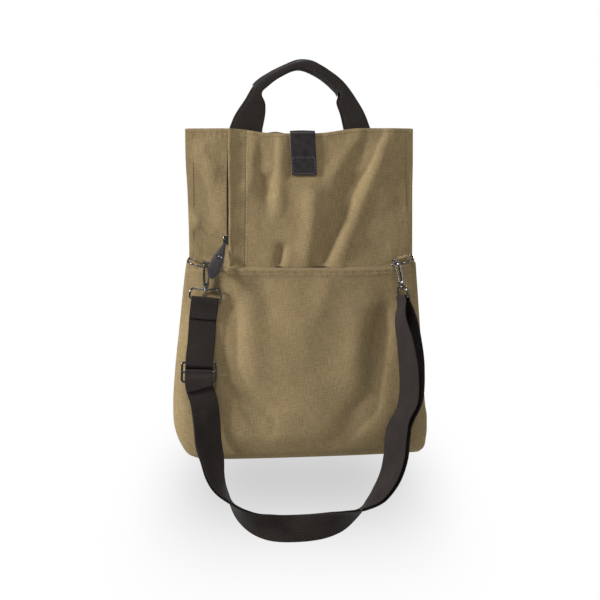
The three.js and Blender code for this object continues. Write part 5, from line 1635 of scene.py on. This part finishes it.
            centre = self.pivot + self.forward * way * (HOOK_THICK / 2 - 0.3)
            pins.append(turned_profile(centre, self.forward * way, PIN_PROFILE, 24))
        stem_end = BOSS_HEIGHT + 2 * GAP
        stud = turned_profile(self.base, -self.up, [
            (STUD_RADIUS, -0.6), (STUD_RADIUS, stem_end - 0.1), (2.1, stem_end), (2.3, stem_end + 0.35),
            (2.2, stem_end + 0.9), (1.6, stem_end + 1.25), (0.3, stem_end + 1.35),
        ], 28)
        body = f"{self.side.word}_hook"
        self.add("snap_hook", [bent, base, *pins, stud], finishes.metal, "metal", "hook", body)

    def gate(self, finishes: Finishes) -> None:
        """The sprung gate: an eye on the hook's pin and a slim blade up to the nose."""
        reach = HOOK_LENGTH - HOOK_WIDTH / 2 - 2.0 - (HOOK_BASE - GATE_EYE) + 1.0
        aside = float(np.dot(self.pivot - self.base, self.across))
        tip = HOOK_WIDTH / 2 - HOOK_ARM - GATE_SLACK - GATE_BLADE / 2 - aside
        share = np.linspace(0, 1, 40)
        path = self.pivot + (share * reach)[:, None] * self.up + (share * tip)[:, None] * self.across
        b = np.tile(self.forward, (40, 1))
        a = unit(np.cross(tangents(path), b))
        width = np.interp(share, [0, 0.05, 0.12, 0.3, 0.9, 0.97, 1.0], [1.5, 1.7, 1.35, 1.0, 0.95, 0.85, 0.5])
        section = rounded_section(GATE_BLADE / 2, GATE_THICK / 2, 0.7, 5, 3)
        blade = sweep(path, a, b, section, False, np.stack([width, np.ones(40)], -1))
        self.add("gate_blade", [blade], finishes.metal, "metal", "gate", f"{self.side.word}_gate")

    def loop(self, finishes: Finishes) -> None:
        """The wire loop with round corners, and the boss that the stud turns in."""
        half = WEB_WIDTH / 2 + LOOP_SLACK + LOOP_WIRE / 2
        tall = LOOP_HEIGHT - LOOP_WIRE
        big, small = LOOP_CORNER, LOOP_CORNER / 2
        corners = [
            (half - big, big, -90, big), (half - small, tall - small, 0, small),
            (small - half, tall - small, 90, small), (big - half, big, 180, big),
        ]
        flat = []
        for a, b, start, radius in corners:
            turn = np.radians(np.linspace(start, start + 90, 14))
            flat.append(np.stack([a + radius * np.cos(turn), b + radius * np.sin(turn)], -1))
        outline = np.vstack(flat)
        closed = resample(np.vstack([outline, outline[:1]]), 181)[:-1]
        path = self.top + closed[:, :1] * self.wide + closed[:, 1:] * self.down
        wire = tube(path, LOOP_WIRE / 2, True, count=22, normal=np.cross(self.wide, self.down))
        h = BOSS_HEIGHT / 2
        hole = STUD_RADIUS + GAP
        profile = np.array([
            (hole, -h), (BOSS_RADIUS - 0.5, -h), (BOSS_RADIUS, -h + 0.5),
            (BOSS_RADIUS, -0.5), (BOSS_RADIUS - 0.35, 0.0), (BOSS_RADIUS, 0.5),
            (BOSS_RADIUS, h - 0.5), (BOSS_RADIUS - 0.5, h), (hole, h),
        ])
        boss = turned_profile(self.top, self.up, profile.tolist(), 32)
        boss_uv = uv_of(np.arange(len(profile) + 1.0), np.linspace(0, 20, 33))
        closed_boss = Grid(boss.points, boss_uv, True, True, False)
        self.add("loop_wire", [wire, closed_boss], finishes.metal, "metal", "strap_loop")

    def build(self, finishes: Finishes) -> None:
        """Builds all the pieces of this side."""
        self.ring(finishes)
        self.tab(finishes)
        self.hook(finishes)
        self.gate(finishes)
        self.loop(finishes)


# Shoulder strap.

STRAP_DROP = 317.0
STRAP_FORWARD = 42.0
STRAP_TAIL = 28.0
STRAP_END = 24.0
WEAVE_GAP = 0.8
SLIDER_GAP = 0.6
SLIDER_WIDTH = 50.0
SLIDER_HEIGHT = 30.0
SLIDER_RAIL = 3.4
SLIDER_THICK = 1.8
SLIDER_AT = 102.0

# Columns: across, drop, forward, roll and spread.
STRAP_ROWS = np.array([
    (0.0, 0.0, 0, 0, 0),
    (-0.011, 0.084, 0.05, 0, 0),
    (-0.018, 0.185, 0.17, 0, 0),
    (-0.027, 0.274, 0.34, 0, 0),
    (-0.026, 0.37, 0.45, 0, 0),
    (0.0, 0.45, 0.5, 8, 0.1),
    (0.013, 0.538, 0.55, 20, 0.2),
    (0.022, 0.626, 0.56, 25, 0.4),
    (0.04, 0.693, 0.58, 40, 0.6),
    (0.054, 0.759, 0.56, 54, 0.6),
    (0.077, 0.812, 0.5, 68, 0.5),
    (0.122, 0.869, 0.42, 90, 0.3),
    (0.186, 0.935, 0.34, 122, 0.2),
    (0.262, 0.979, 0.26, 148, 0.1),
    (0.349, 0.998, 0.2, 172, 0.1),
    (0.45, 1.0, 0.18, 180, 0.1),
    (0.582, 0.989, 0.18, 166, 0.2),
    (0.669, 0.968, 0.2, 146, 0.3),
    (0.74, 0.937, 0.24, 118, 0.4),
    (0.807, 0.9, 0.3, 90, 0.6),
    (0.878, 0.847, 0.33, 64, 0.9),
    (0.934, 0.768, 0.35, 52, 1.4),
    (0.962, 0.679, 0.35, 44, 1.8),
    (0.969, 0.609, 0.34, 42, 1.9),
    (0.98, 0.56, 0.32, 46, 1.8),
    (1.005, 0.507, 0.36, 58, 1.7),
    (1.036, 0.432, 0.36, 49, 2.2),
    (1.041, 0.304, 0.31, 50, 3.0),
    (1.028, 0.185, 0.24, 58, 3.8),
    (1.01, 0.084, 0.12, 70, 4.0),
    (1.0, 0.0, 0, 76, 0),
], float)


@dataclass
class Strap:
    """The shoulder strap: one band from the left loop, through the slider and round the right loop."""

    left: Fittings
    right: Fittings

    def __post_init__(self) -> None:
        """Works out the centre line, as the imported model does."""
        start, end = self.left.loop_bar, self.right.loop_bar
        across, drop, forward, roll, spread = STRAP_ROWS.T
        second = np.arange(len(STRAP_ROWS)) > len(STRAP_ROWS) / 2
        top = np.where(second, end[2], start[2])
        x = start[0] + (end[0] - start[0]) * across
        y = start[1] + (end[1] - start[1]) * np.clip(across, 0, 1) - forward * STRAP_FORWARD
        z = top - drop * (STRAP_DROP + top - start[2])
        self.points = np.stack([x, y, z], -1)
        self.twist = np.stack([roll, spread, 0 * roll], -1)
        t = np.linspace(0, 1, 801)
        self.shares = t
        self.along = lengths_along(catmull(self.points, t))
        self.length = self.along[-1]

    def frame(self, length: Array) -> tuple[Array, Array, Array, Array, Array]:
        """Centre, way along, way across, way out and parting of the layers at lengths."""
        t = np.interp(length, self.along, self.shares)
        point = catmull(self.points, t)
        step = 1e-4
        ahead = catmull(self.points, np.minimum(t + step, 1))
        along = unit(ahead - catmull(self.points, np.maximum(t - step, 0)))
        values = catmull(self.twist, t)
        flat = unit(np.cross(along, np.array([0.0, 1.0, 0.0])))
        deep = unit(np.cross(flat, along))
        roll = np.radians(values[:, :1])
        wide = flat * np.cos(roll) + deep * np.sin(roll)
        out = deep * np.cos(roll) - flat * np.sin(roll)
        return point, along, wide, out, values[:, 1] * WEB_CLOTH

    @property
    def layer_out(self) -> float:
        """Usual distance of a layer from the centre line."""
        return (WEB_CLOTH + WEB_GAP) / 2

    @property
    def over_bar(self) -> float:
        """Distance of a layer from the middle of the slider's bar."""
        return SLIDER_THICK / 2 + SLIDER_GAP + WEB_CLOTH / 2

    @property
    def slider_out(self) -> float:
        """Distance of the slider's middle from the centre line."""
        return self.layer_out + self.over_bar

    @property
    def slot_end(self) -> float:
        """How far from the slider's bar the webbing has passed its slot."""
        return SLIDER_HEIGHT / 2 - SLIDER_RAIL - 1.2

    @property
    def loop_bend(self) -> float:
        """Radius of the webbing's middle round a loop's bar."""
        return LOOP_WIRE / 2 + 2 * GAP + WEB_CLOTH / 2

    def weave(self, past: Array, over: float, rail: float, beyond: Array) -> Array:
        """Distance of a layer from the centre line near the slider: behind its bar, before its rails."""
        away = np.abs(past)
        bar_end = SLIDER_RAIL / 2 + 0.3
        inside = np.clip((away - bar_end) / (self.slot_end - bar_end), 0, 1)
        inside = inside * inside * (3 - 2 * inside)
        outside = smoothstep(away, SLIDER_HEIGHT / 2 + 1, SLIDER_HEIGHT / 2 + 14)
        near = over + (rail - over) * inside
        return near + (beyond - near) * outside

    def usual(self, length: Array, spread: Array) -> Array:
        """Distance of a layer from the centre line, closing in to both loops."""
        near = np.minimum(length, self.length - length)
        return self.loop_bend + (self.layer_out + spread - self.loop_bend) * smoothstep(near, 0, LOOP_HEIGHT)

    def run(self, lengths: Array, offset: Callable[[Array, Array], Array]) -> tuple[Array, Array]:
        """Points of a layer and its way across at lengths along the centre line."""
        point, _, wide, out, spread = self.frame(lengths)
        return point + out * offset(lengths, spread)[:, None], wide

    def around(self, centre: Array, start: Array, over: Array, radius: float, bulge: float) -> Array:
        """Points of half a turn round a bar, from one way out of it over its far side."""
        turn = np.linspace(0.04, 0.96, 18)[:, None] * math.pi
        out = start * np.cos(turn) + over * np.sin(turn)
        return centre + out * (radius + bulge * np.sin(turn))

    def layers(self) -> tuple[Array, Array]:
        """The whole band's middle line and way across, from the sewn end before the left loop."""
        layer_step = WEB_CLOTH + WEAVE_GAP
        _, along0, _, out0, _ = (v[0] for v in self.frame(np.array([0.0])))
        _, along1, _, out1, _ = (v[0] for v in self.frame(np.array([self.length])))
        at = self.frame(np.array([SLIDER_AT]))
        slider, along_s, wide_s, out_s = (v[0] for v in at[:4])
        slider = slider + out_s * self.slider_out

        def main_layer(length: Array, spread: Array) -> Array:
            top = self.slider_out + self.over_bar + layer_step
            return self.weave(length - SLIDER_AT, top, self.layer_out, self.usual(length, spread))

        def return_layer(length: Array, spread: Array) -> Array:
            top = self.slider_out + self.over_bar
            rail = self.layer_out - layer_step
            return self.weave(length - SLIDER_AT, top, rail, -self.usual(length, spread))

        def sewn(length: Array, spread: Array) -> Array:
            behind = self.layer_out - 2 * layer_step - GAP
            top = self.slider_out - self.over_bar
            return top + (behind - top) * smoothstep(length - SLIDER_AT, SLIDER_RAIL / 2, self.slot_end)

        parts = [
            self.run(np.linspace(STRAP_TAIL, 1.5, 12), lambda s, w: -self.usual(s, 0 * w)),
            (self.around(self.left.loop_bar, -out0, -along0, self.loop_bend, 0), self.left.wide),
            self.run(np.linspace(1.5, SLIDER_AT - 24, 30), main_layer),
            self.run(SLIDER_AT + np.linspace(-23, 23, 64), main_layer),
            self.run(np.linspace(SLIDER_AT + 24, self.length - 1.5, 300), main_layer),
            (self.around(self.right.loop_bar, out1, along1, self.loop_bend, 0), self.right.wide),
            self.run(np.linspace(self.length - 1.5, SLIDER_AT + 24, 300), return_layer),
            self.run(SLIDER_AT + np.linspace(23, SLIDER_RAIL / 2, 34), return_layer),
            (self.around(slider, out_s, -along_s, self.over_bar, (SLIDER_RAIL - SLIDER_THICK) / 2), wide_s),
            self.run(SLIDER_AT + np.linspace(SLIDER_RAIL / 2 + 0.5, STRAP_END, 20), sewn),
        ]
        path = np.concatenate([p for p, _ in parts])
        wide = np.concatenate([np.broadcast_to(w, p.shape) for p, w in parts])
        return path, wide

    def build(self, finishes: Finishes) -> None:
        """Builds the band with rounded edges."""
        path, wide = self.layers()
        along = tangents(path)
        wide = unit(wide - along * np.sum(wide * along, -1, keepdims=True))
        sign = np.sign(np.sum(wide[1:] * wide[:-1], -1))
        wide = wide * np.concatenate([[1.0], np.cumprod(np.where(sign == 0, 1, sign))])[:, None]
        out = unit(np.cross(wide, along))
        section = rounded_section(WEB_WIDTH / 2, WEB_CLOTH / 2, 0.72, 5, 20)
        grid = sweep(path, wide, out, section)
        uv = grid.uv.copy()
        across = np.concatenate([section[:, 0], section[:1, 0]])
        uv[..., 0] = across + WEB_WIDTH
        band = Grid(grid.points, uv, False, True, True)
        piece("strap_band", [band], [finishes.webbing], "bag", "webbing", "shoulder_strap")

    def slider(self, finishes: Finishes) -> None:
        """The slider: a round-cornered frame of flat bar with a rail across its middle."""
        at = self.frame(np.array([SLIDER_AT]))
        point, along, wide, out = (v[0] for v in at[:4])
        centre = point + out * self.slider_out
        w, h = SLIDER_WIDTH / 2 - SLIDER_RAIL / 2, SLIDER_HEIGHT / 2 - SLIDER_RAIL / 2
        radius = 3.0
        flat = []
        for sx, sy, start in ((1, 1, 0), (-1, 1, 90), (-1, -1, 180), (1, -1, 270)):
            turn = np.radians(np.linspace(start, start + 90, 12))
            corner = np.array([sx * (w - radius), sy * (h - radius)])
            flat.append(corner + radius * np.stack([np.cos(turn), np.sin(turn)], -1))
        outline = np.vstack(flat)
        closed = resample(np.vstack([outline, outline[:1]]), 161)[:-1]
        path = centre + closed[:, :1] * wide - closed[:, 1:] * along
        b = np.tile(out, (len(path), 1))
        a = unit(np.cross(tangents(path, True), b))
        section = rounded_section(SLIDER_RAIL / 2, SLIDER_THICK / 2, 0.75, 6, 3)
        rim = sweep(path, a, b, section, True)
        bar_path = centre + np.linspace(-w, w, 30)[:, None] * wide
        bar = sweep(bar_path, np.tile(along, (30, 1)), np.tile(out, (30, 1)), section)
        piece("strap_slider_frame", [rim, bar], [finishes.metal], "bag", "metal", "strap_slider")

    def stitch_rows(self) -> list[tuple[Array, Array]]:
        """The sewn lines that hold the strap's end at the left loop."""
        rows = []
        for length in (STRAP_TAIL - 3, STRAP_TAIL - 8):
            point, _, wide, out, spread = self.frame(np.array([float(length)]))
            offset = -self.usual(np.array([float(length)]), 0 * spread)[0] - WEB_CLOTH / 2
            across = np.linspace(-1, 1, 30)[:, None] * (WEB_WIDTH / 2 - 2.5)
            rows.append((point[0] + out[0] * offset + across * wide[0], np.tile(-out[0], (30, 1))))
        return rows


# Zip pull.

# Radius and height of the rivet's cap, from its rim to its crown.
RIVET_PROFILE = (
    (3.9, 0.0), (4.0, 0.4), (3.7, 0.8), (3.0, 0.95),
    (2.6, 1.3), (1.8, 1.85), (0.8, 2.1), (0.15, 2.15),
)


@dataclass
class ZipPull:
    """The zip's slider, its wire link, the leather drop and its rivet."""

    frame: dict
    length: float = 58.0
    width: float = 19.0
    leather: float = 2.2
    lean: float = 21.0
    forward: float = 24.5
    rivet_from_tip: float = 24.0

    def __post_init__(self) -> None:
        """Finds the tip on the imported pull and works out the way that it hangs."""
        node = self.frame["nodes"]["zip_pull"]
        co = np.zeros(len(node.data.vertices) * 3)
        node.data.vertices.foreach_get("co", co)
        co = co.reshape(-1, 3) / MM
        self.tip = co[co[:, 2] > co[:, 2].max() - 1.4].mean(0)
        lean = math.radians(self.lean)
        tip_forward = math.asin(self.forward / self.length)
        side = np.array([-math.sin(lean), 0.0, -math.cos(lean)])
        self.down = side * math.cos(tip_forward) + np.array([0.0, -math.sin(tip_forward), 0.0])
        self.across = np.array([math.cos(lean), 0.0, -math.sin(lean)])
        self.out = np.cross(self.across, -self.down)

    def build(self, finishes: Finishes) -> None:
        """Builds the drop, the rivet, the link and the slider."""
        tail = 0.7 + 0.3 * np.sin(np.linspace(0, math.pi / 2, 26))[1:]
        share = np.concatenate([np.linspace(0, 0.7, 40), tail])
        swell = self.width / 2 * (0.17 + 0.83 * np.sin(np.clip(share / 0.72, 0, 1) * math.pi / 2) ** 1.25)
        taper = np.sqrt(np.clip(1 - ((share - 0.7) / 0.3) ** 2, 0.004, 1))
        half = np.where(share > 0.7, swell * taper, swell)
        path = self.tip + share[:, None] * self.length * self.down
        path = path + (1.2 * np.sin(share * math.pi))[:, None] * self.out
        section = rounded_section(1.0, self.leather / 2, 0.6, 5, 14)
        section_x = np.clip(section[:, 0], -1, 1)
        x = section_x[None, :] * half[:, None]
        points = path[:, None] + x[..., None] * self.across + section[None, :, 1, None] * self.out
        uv = uv_of(share * self.length, np.linspace(0, 40, len(section) + 1))
        slots = np.zeros((len(share) - 1, len(section)), int)
        slots[:, np.abs(section_x) > 0.93] = 1
        shape = Grid(points, uv, False, True, True, slots)
        piece("pull_drop", [shape], [finishes.leather, finishes.raw_edge], "bag", "leather", "zip_pull")
        centre = self.tip + self.down * self.rivet_from_tip + self.out * (self.leather / 2 + 0.9)
        rivet = turned_profile(centre, self.out, RIVET_PROFILE, 40)
        piece("pull_rivet_cap", [rivet], [finishes.metal], "bag", "metal", "zip_pull_rivet")
        low, high = (np.array(corner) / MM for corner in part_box("zip_slider"))
        size = (high - low) / 2
        middle = (high + low) / 2
        z = np.array([-1, -0.94, -0.8, -0.3, 0.3, 0.8, 0.94, 1.0])
        fat = np.array([0.5, 0.75, 0.95, 1.0, 0.9, 0.75, 0.6, 0.35])
        spine = middle + (z * size[2])[:, None] * np.array([0, 0, 1.0])
        wide = np.tile([1.0, 0, 0], (len(z), 1))
        deep = np.tile([0, 1.0, 0], (len(z), 1))
        slider = sweep(spine, wide, deep, rounded_section(size[0], size[1], 0.9, 6, 4), False, fat)
        eye = self.tip + np.array([0.0, 0.4, 0.0])
        turn = np.linspace(0, 2 * math.pi, 60, endpoint=False)
        link = eye + 2.2 * (1 + np.cos(turn))[:, None] * self.down + 2.0 * np.sin(turn)[:, None] * self.across
        wire = tube(link, 0.55, True, count=12, normal=self.out)
        piece("zip_slider_body", [slider, wire], [finishes.metal], "bag", "metal", "zip_slider")


# Stage.

@dataclass
class Studio:
    """Pale sloping paper with a soft painted shadow under the bag, soft lights and the camera, nearly
    straight on from the front.
    """

    photo_side: int = 600
    mm_per_pixel: float = 1.4
    centre_pixel_z: float = 337.0
    crown_pixel_z: float = 107.0
    lens: float = 100.0
    elevation: float = 1.5
    glow: float = 0.72
    # Strength, width, place behind and depth of the soft shadow painted on the paper.
    shade: float = 0.38
    shade_wide: float = 0.21
    shade_behind: float = 0.52
    shade_deep: float = 0.42
    paper_slope: float = 6.0
    surround: float = 0.17
    paper_radius: float = 1.3
    paper_drop: float = 0.035

    def build(self) -> None:
        """Makes the whole stage."""
        low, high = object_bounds()
        self.camera(low, high)
        self.floor(low)
        self.lights()
        bpy.context.scene.view_settings.view_transform = "Standard"

    def camera(self, low: Vector, high: Vector) -> None:
        """Places the camera so that a pixel is as many millimetres as in the photo."""
        data = bpy.data.cameras.new("camera")
        data.lens = self.lens
        data.sensor_width = 36.0
        span = self.photo_side * self.mm_per_pixel * MM
        distance = span * self.lens / data.sensor_width
        obj = bpy.data.objects.new("camera", data)
        bpy.context.scene.collection.objects.link(obj)
        centre_z = (self.crown_pixel_z - self.centre_pixel_z) * self.mm_per_pixel * MM
        centre = Vector(((low.x + high.x) / 2, 0, centre_z))
        turn = math.radians(self.elevation)
        obj.location = centre + Vector((0, -math.cos(turn), math.sin(turn))) * distance
        obj.rotation_euler = (math.pi / 2 - turn, 0, 0)
        data.clip_end = 50
        bpy.context.scene.camera = obj

    def floor(self, low: Vector) -> None:
        """A round sheet of white paper that slopes up behind the bag, with a soft shadow painted into its
        glow below the bag.
        """
        turn = np.linspace(0, 2 * math.pi, 96, endpoint=False)
        rim = np.stack([np.cos(turn), np.sin(turn), 0 * turn], -1) * self.paper_radius
        mesh = bpy.data.meshes.new("paper")
        mesh.from_pydata(rim.tolist(), [], [list(range(96))])
        n = Nodes("paper")
        place_on = n.node("TexCoord", "Object")
        x, y = n.split(place_on)
        # Painted shadow: a soft oval, wide across and centred behind the bag, dims the paper's glow as the
        # camera sees it; the paper itself is black, so no real shadow falls on it.
        side = n.math("DIVIDE", x, self.shade_wide)
        side = n.math("MULTIPLY", side, side)
        behind = n.math("DIVIDE", n.math("SUBTRACT", y, self.shade_behind), self.shade_deep)
        away = n.math("ADD", n.math("MULTIPLY", side, side), n.math("MULTIPLY", behind, behind))
        soft = n.math("EXPONENT", n.math("MULTIPLY", away, -1.0))
        shown = n.math("SUBTRACT", 1.0 - self.glow, n.math("MULTIPLY", soft, self.shade))
        glow = n.math("ADD", self.glow, n.math("MULTIPLY", n.node("LightPath", "Is Camera Ray"), shown))
        front = n.math("SUBTRACT", 1.0, n.node("NewGeometry", "Backfacing"))
        dull = rgb(0, 0, 0)
        mesh.materials.append(n.finish(
            Base_Color=dull, Roughness=1.0, Specular_IOR_Level=0.0,
            Emission_Color=rgb(1, 1, 1), Emission_Strength=glow, Alpha=front,
        ))
        obj = bpy.data.objects.new("paper", mesh)
        obj.location = (0, 0, low.z - self.paper_drop)
        obj.rotation_euler = (math.radians(self.paper_slope), 0, 0)
        bpy.context.scene.collection.objects.link(obj)
        obj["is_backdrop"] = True

    def lights(self) -> None:
        """Four soft square lights, and a surround that is white to the camera and dim as a light."""
        world = bpy.data.worlds.new("surround")
        bpy.context.scene.world = world
        world.use_nodes = True
        world.node_tree.nodes["Background"].inputs[0].default_value = rgb(1, 1, 1)
        tree = world.node_tree
        seen = tree.nodes.new("ShaderNodeLightPath").outputs["Is Camera Ray"]
        strength = tree.nodes.new("ShaderNodeMapRange")
        tree.links.new(seen, strength.inputs[0])
        strength.inputs[3].default_value = self.surround
        strength.inputs[4].default_value = 1.0
        tree.links.new(strength.outputs[0], tree.nodes["Background"].inputs[1])
        for name, spot, size, power in (
            ("left_light", (-2.1, -0.62, 0.45), 0.35, 64.0),
            ("right_light", (2.0, -0.8, 0.25), 0.45, 8.0),
            ("top_light", (-0.1, -1.05, 1.3), 0.5, 12.0),
            ("back_light", (0.9, 2.3, 0.9), 0.6, 34.0),
        ):
            data = bpy.data.lights.new(name, "AREA")
            data.shape = "SQUARE"
            data.size = size
            data.energy = power
            obj = bpy.data.objects.new(name, data)
            bpy.context.scene.collection.objects.link(obj)
            obj.location = spot
            aim = Vector((0, 0, -0.3)) - Vector(spot)
            obj.rotation_euler = aim.to_track_quat("-Z", "Y").to_euler()


def main() -> None:
    """Builds the bag's parts in order, then the stage."""
    logging.basicConfig(level=logging.INFO, format="%(message)s")
    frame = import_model()
    finishes = Finishes()
    body = CanvasTube()
    body.build(finishes)
    pocket = Pocket()
    pocket.build(finishes)
    placket = Placket()
    placket.build(finishes)
    front, back = Handle(Wall.FRONT), Handle(Wall.BACK)
    front.build(finishes)
    back.build(finishes)
    Grip().build(back, finishes)
    tab = ClosureTab()
    tab.build(finishes)
    left, right = Fittings(Side.LEFT, frame), Fittings(Side.RIGHT, frame)
    left.build(finishes)
    right.build(finishes)
    strap = Strap(left, right)
    strap.build(finishes)
    strap.slider(finishes)
    ZipPull(frame).build(finishes)
    khaki = [*body.hem_rows(), pocket.hem_row(), placket.seam_row()]
    stitch_piece("canvas_stitches", khaki, finishes.khaki_thread, "canvas")
    sunk = Stitching(2.8, 1.3, 0.42, 0.25)
    stitch_piece("leather_stitches", tab.stitch_rows(), finishes.tab_thread, "leather", sunk)
    dark = [*front.stitch_rows(), *back.stitch_rows(), *strap.stitch_rows()]
    stitch_piece("webbing_stitches", dark, finishes.dark_thread, "webbing")
    Studio().build()


if __name__ == "__main__":
    main()
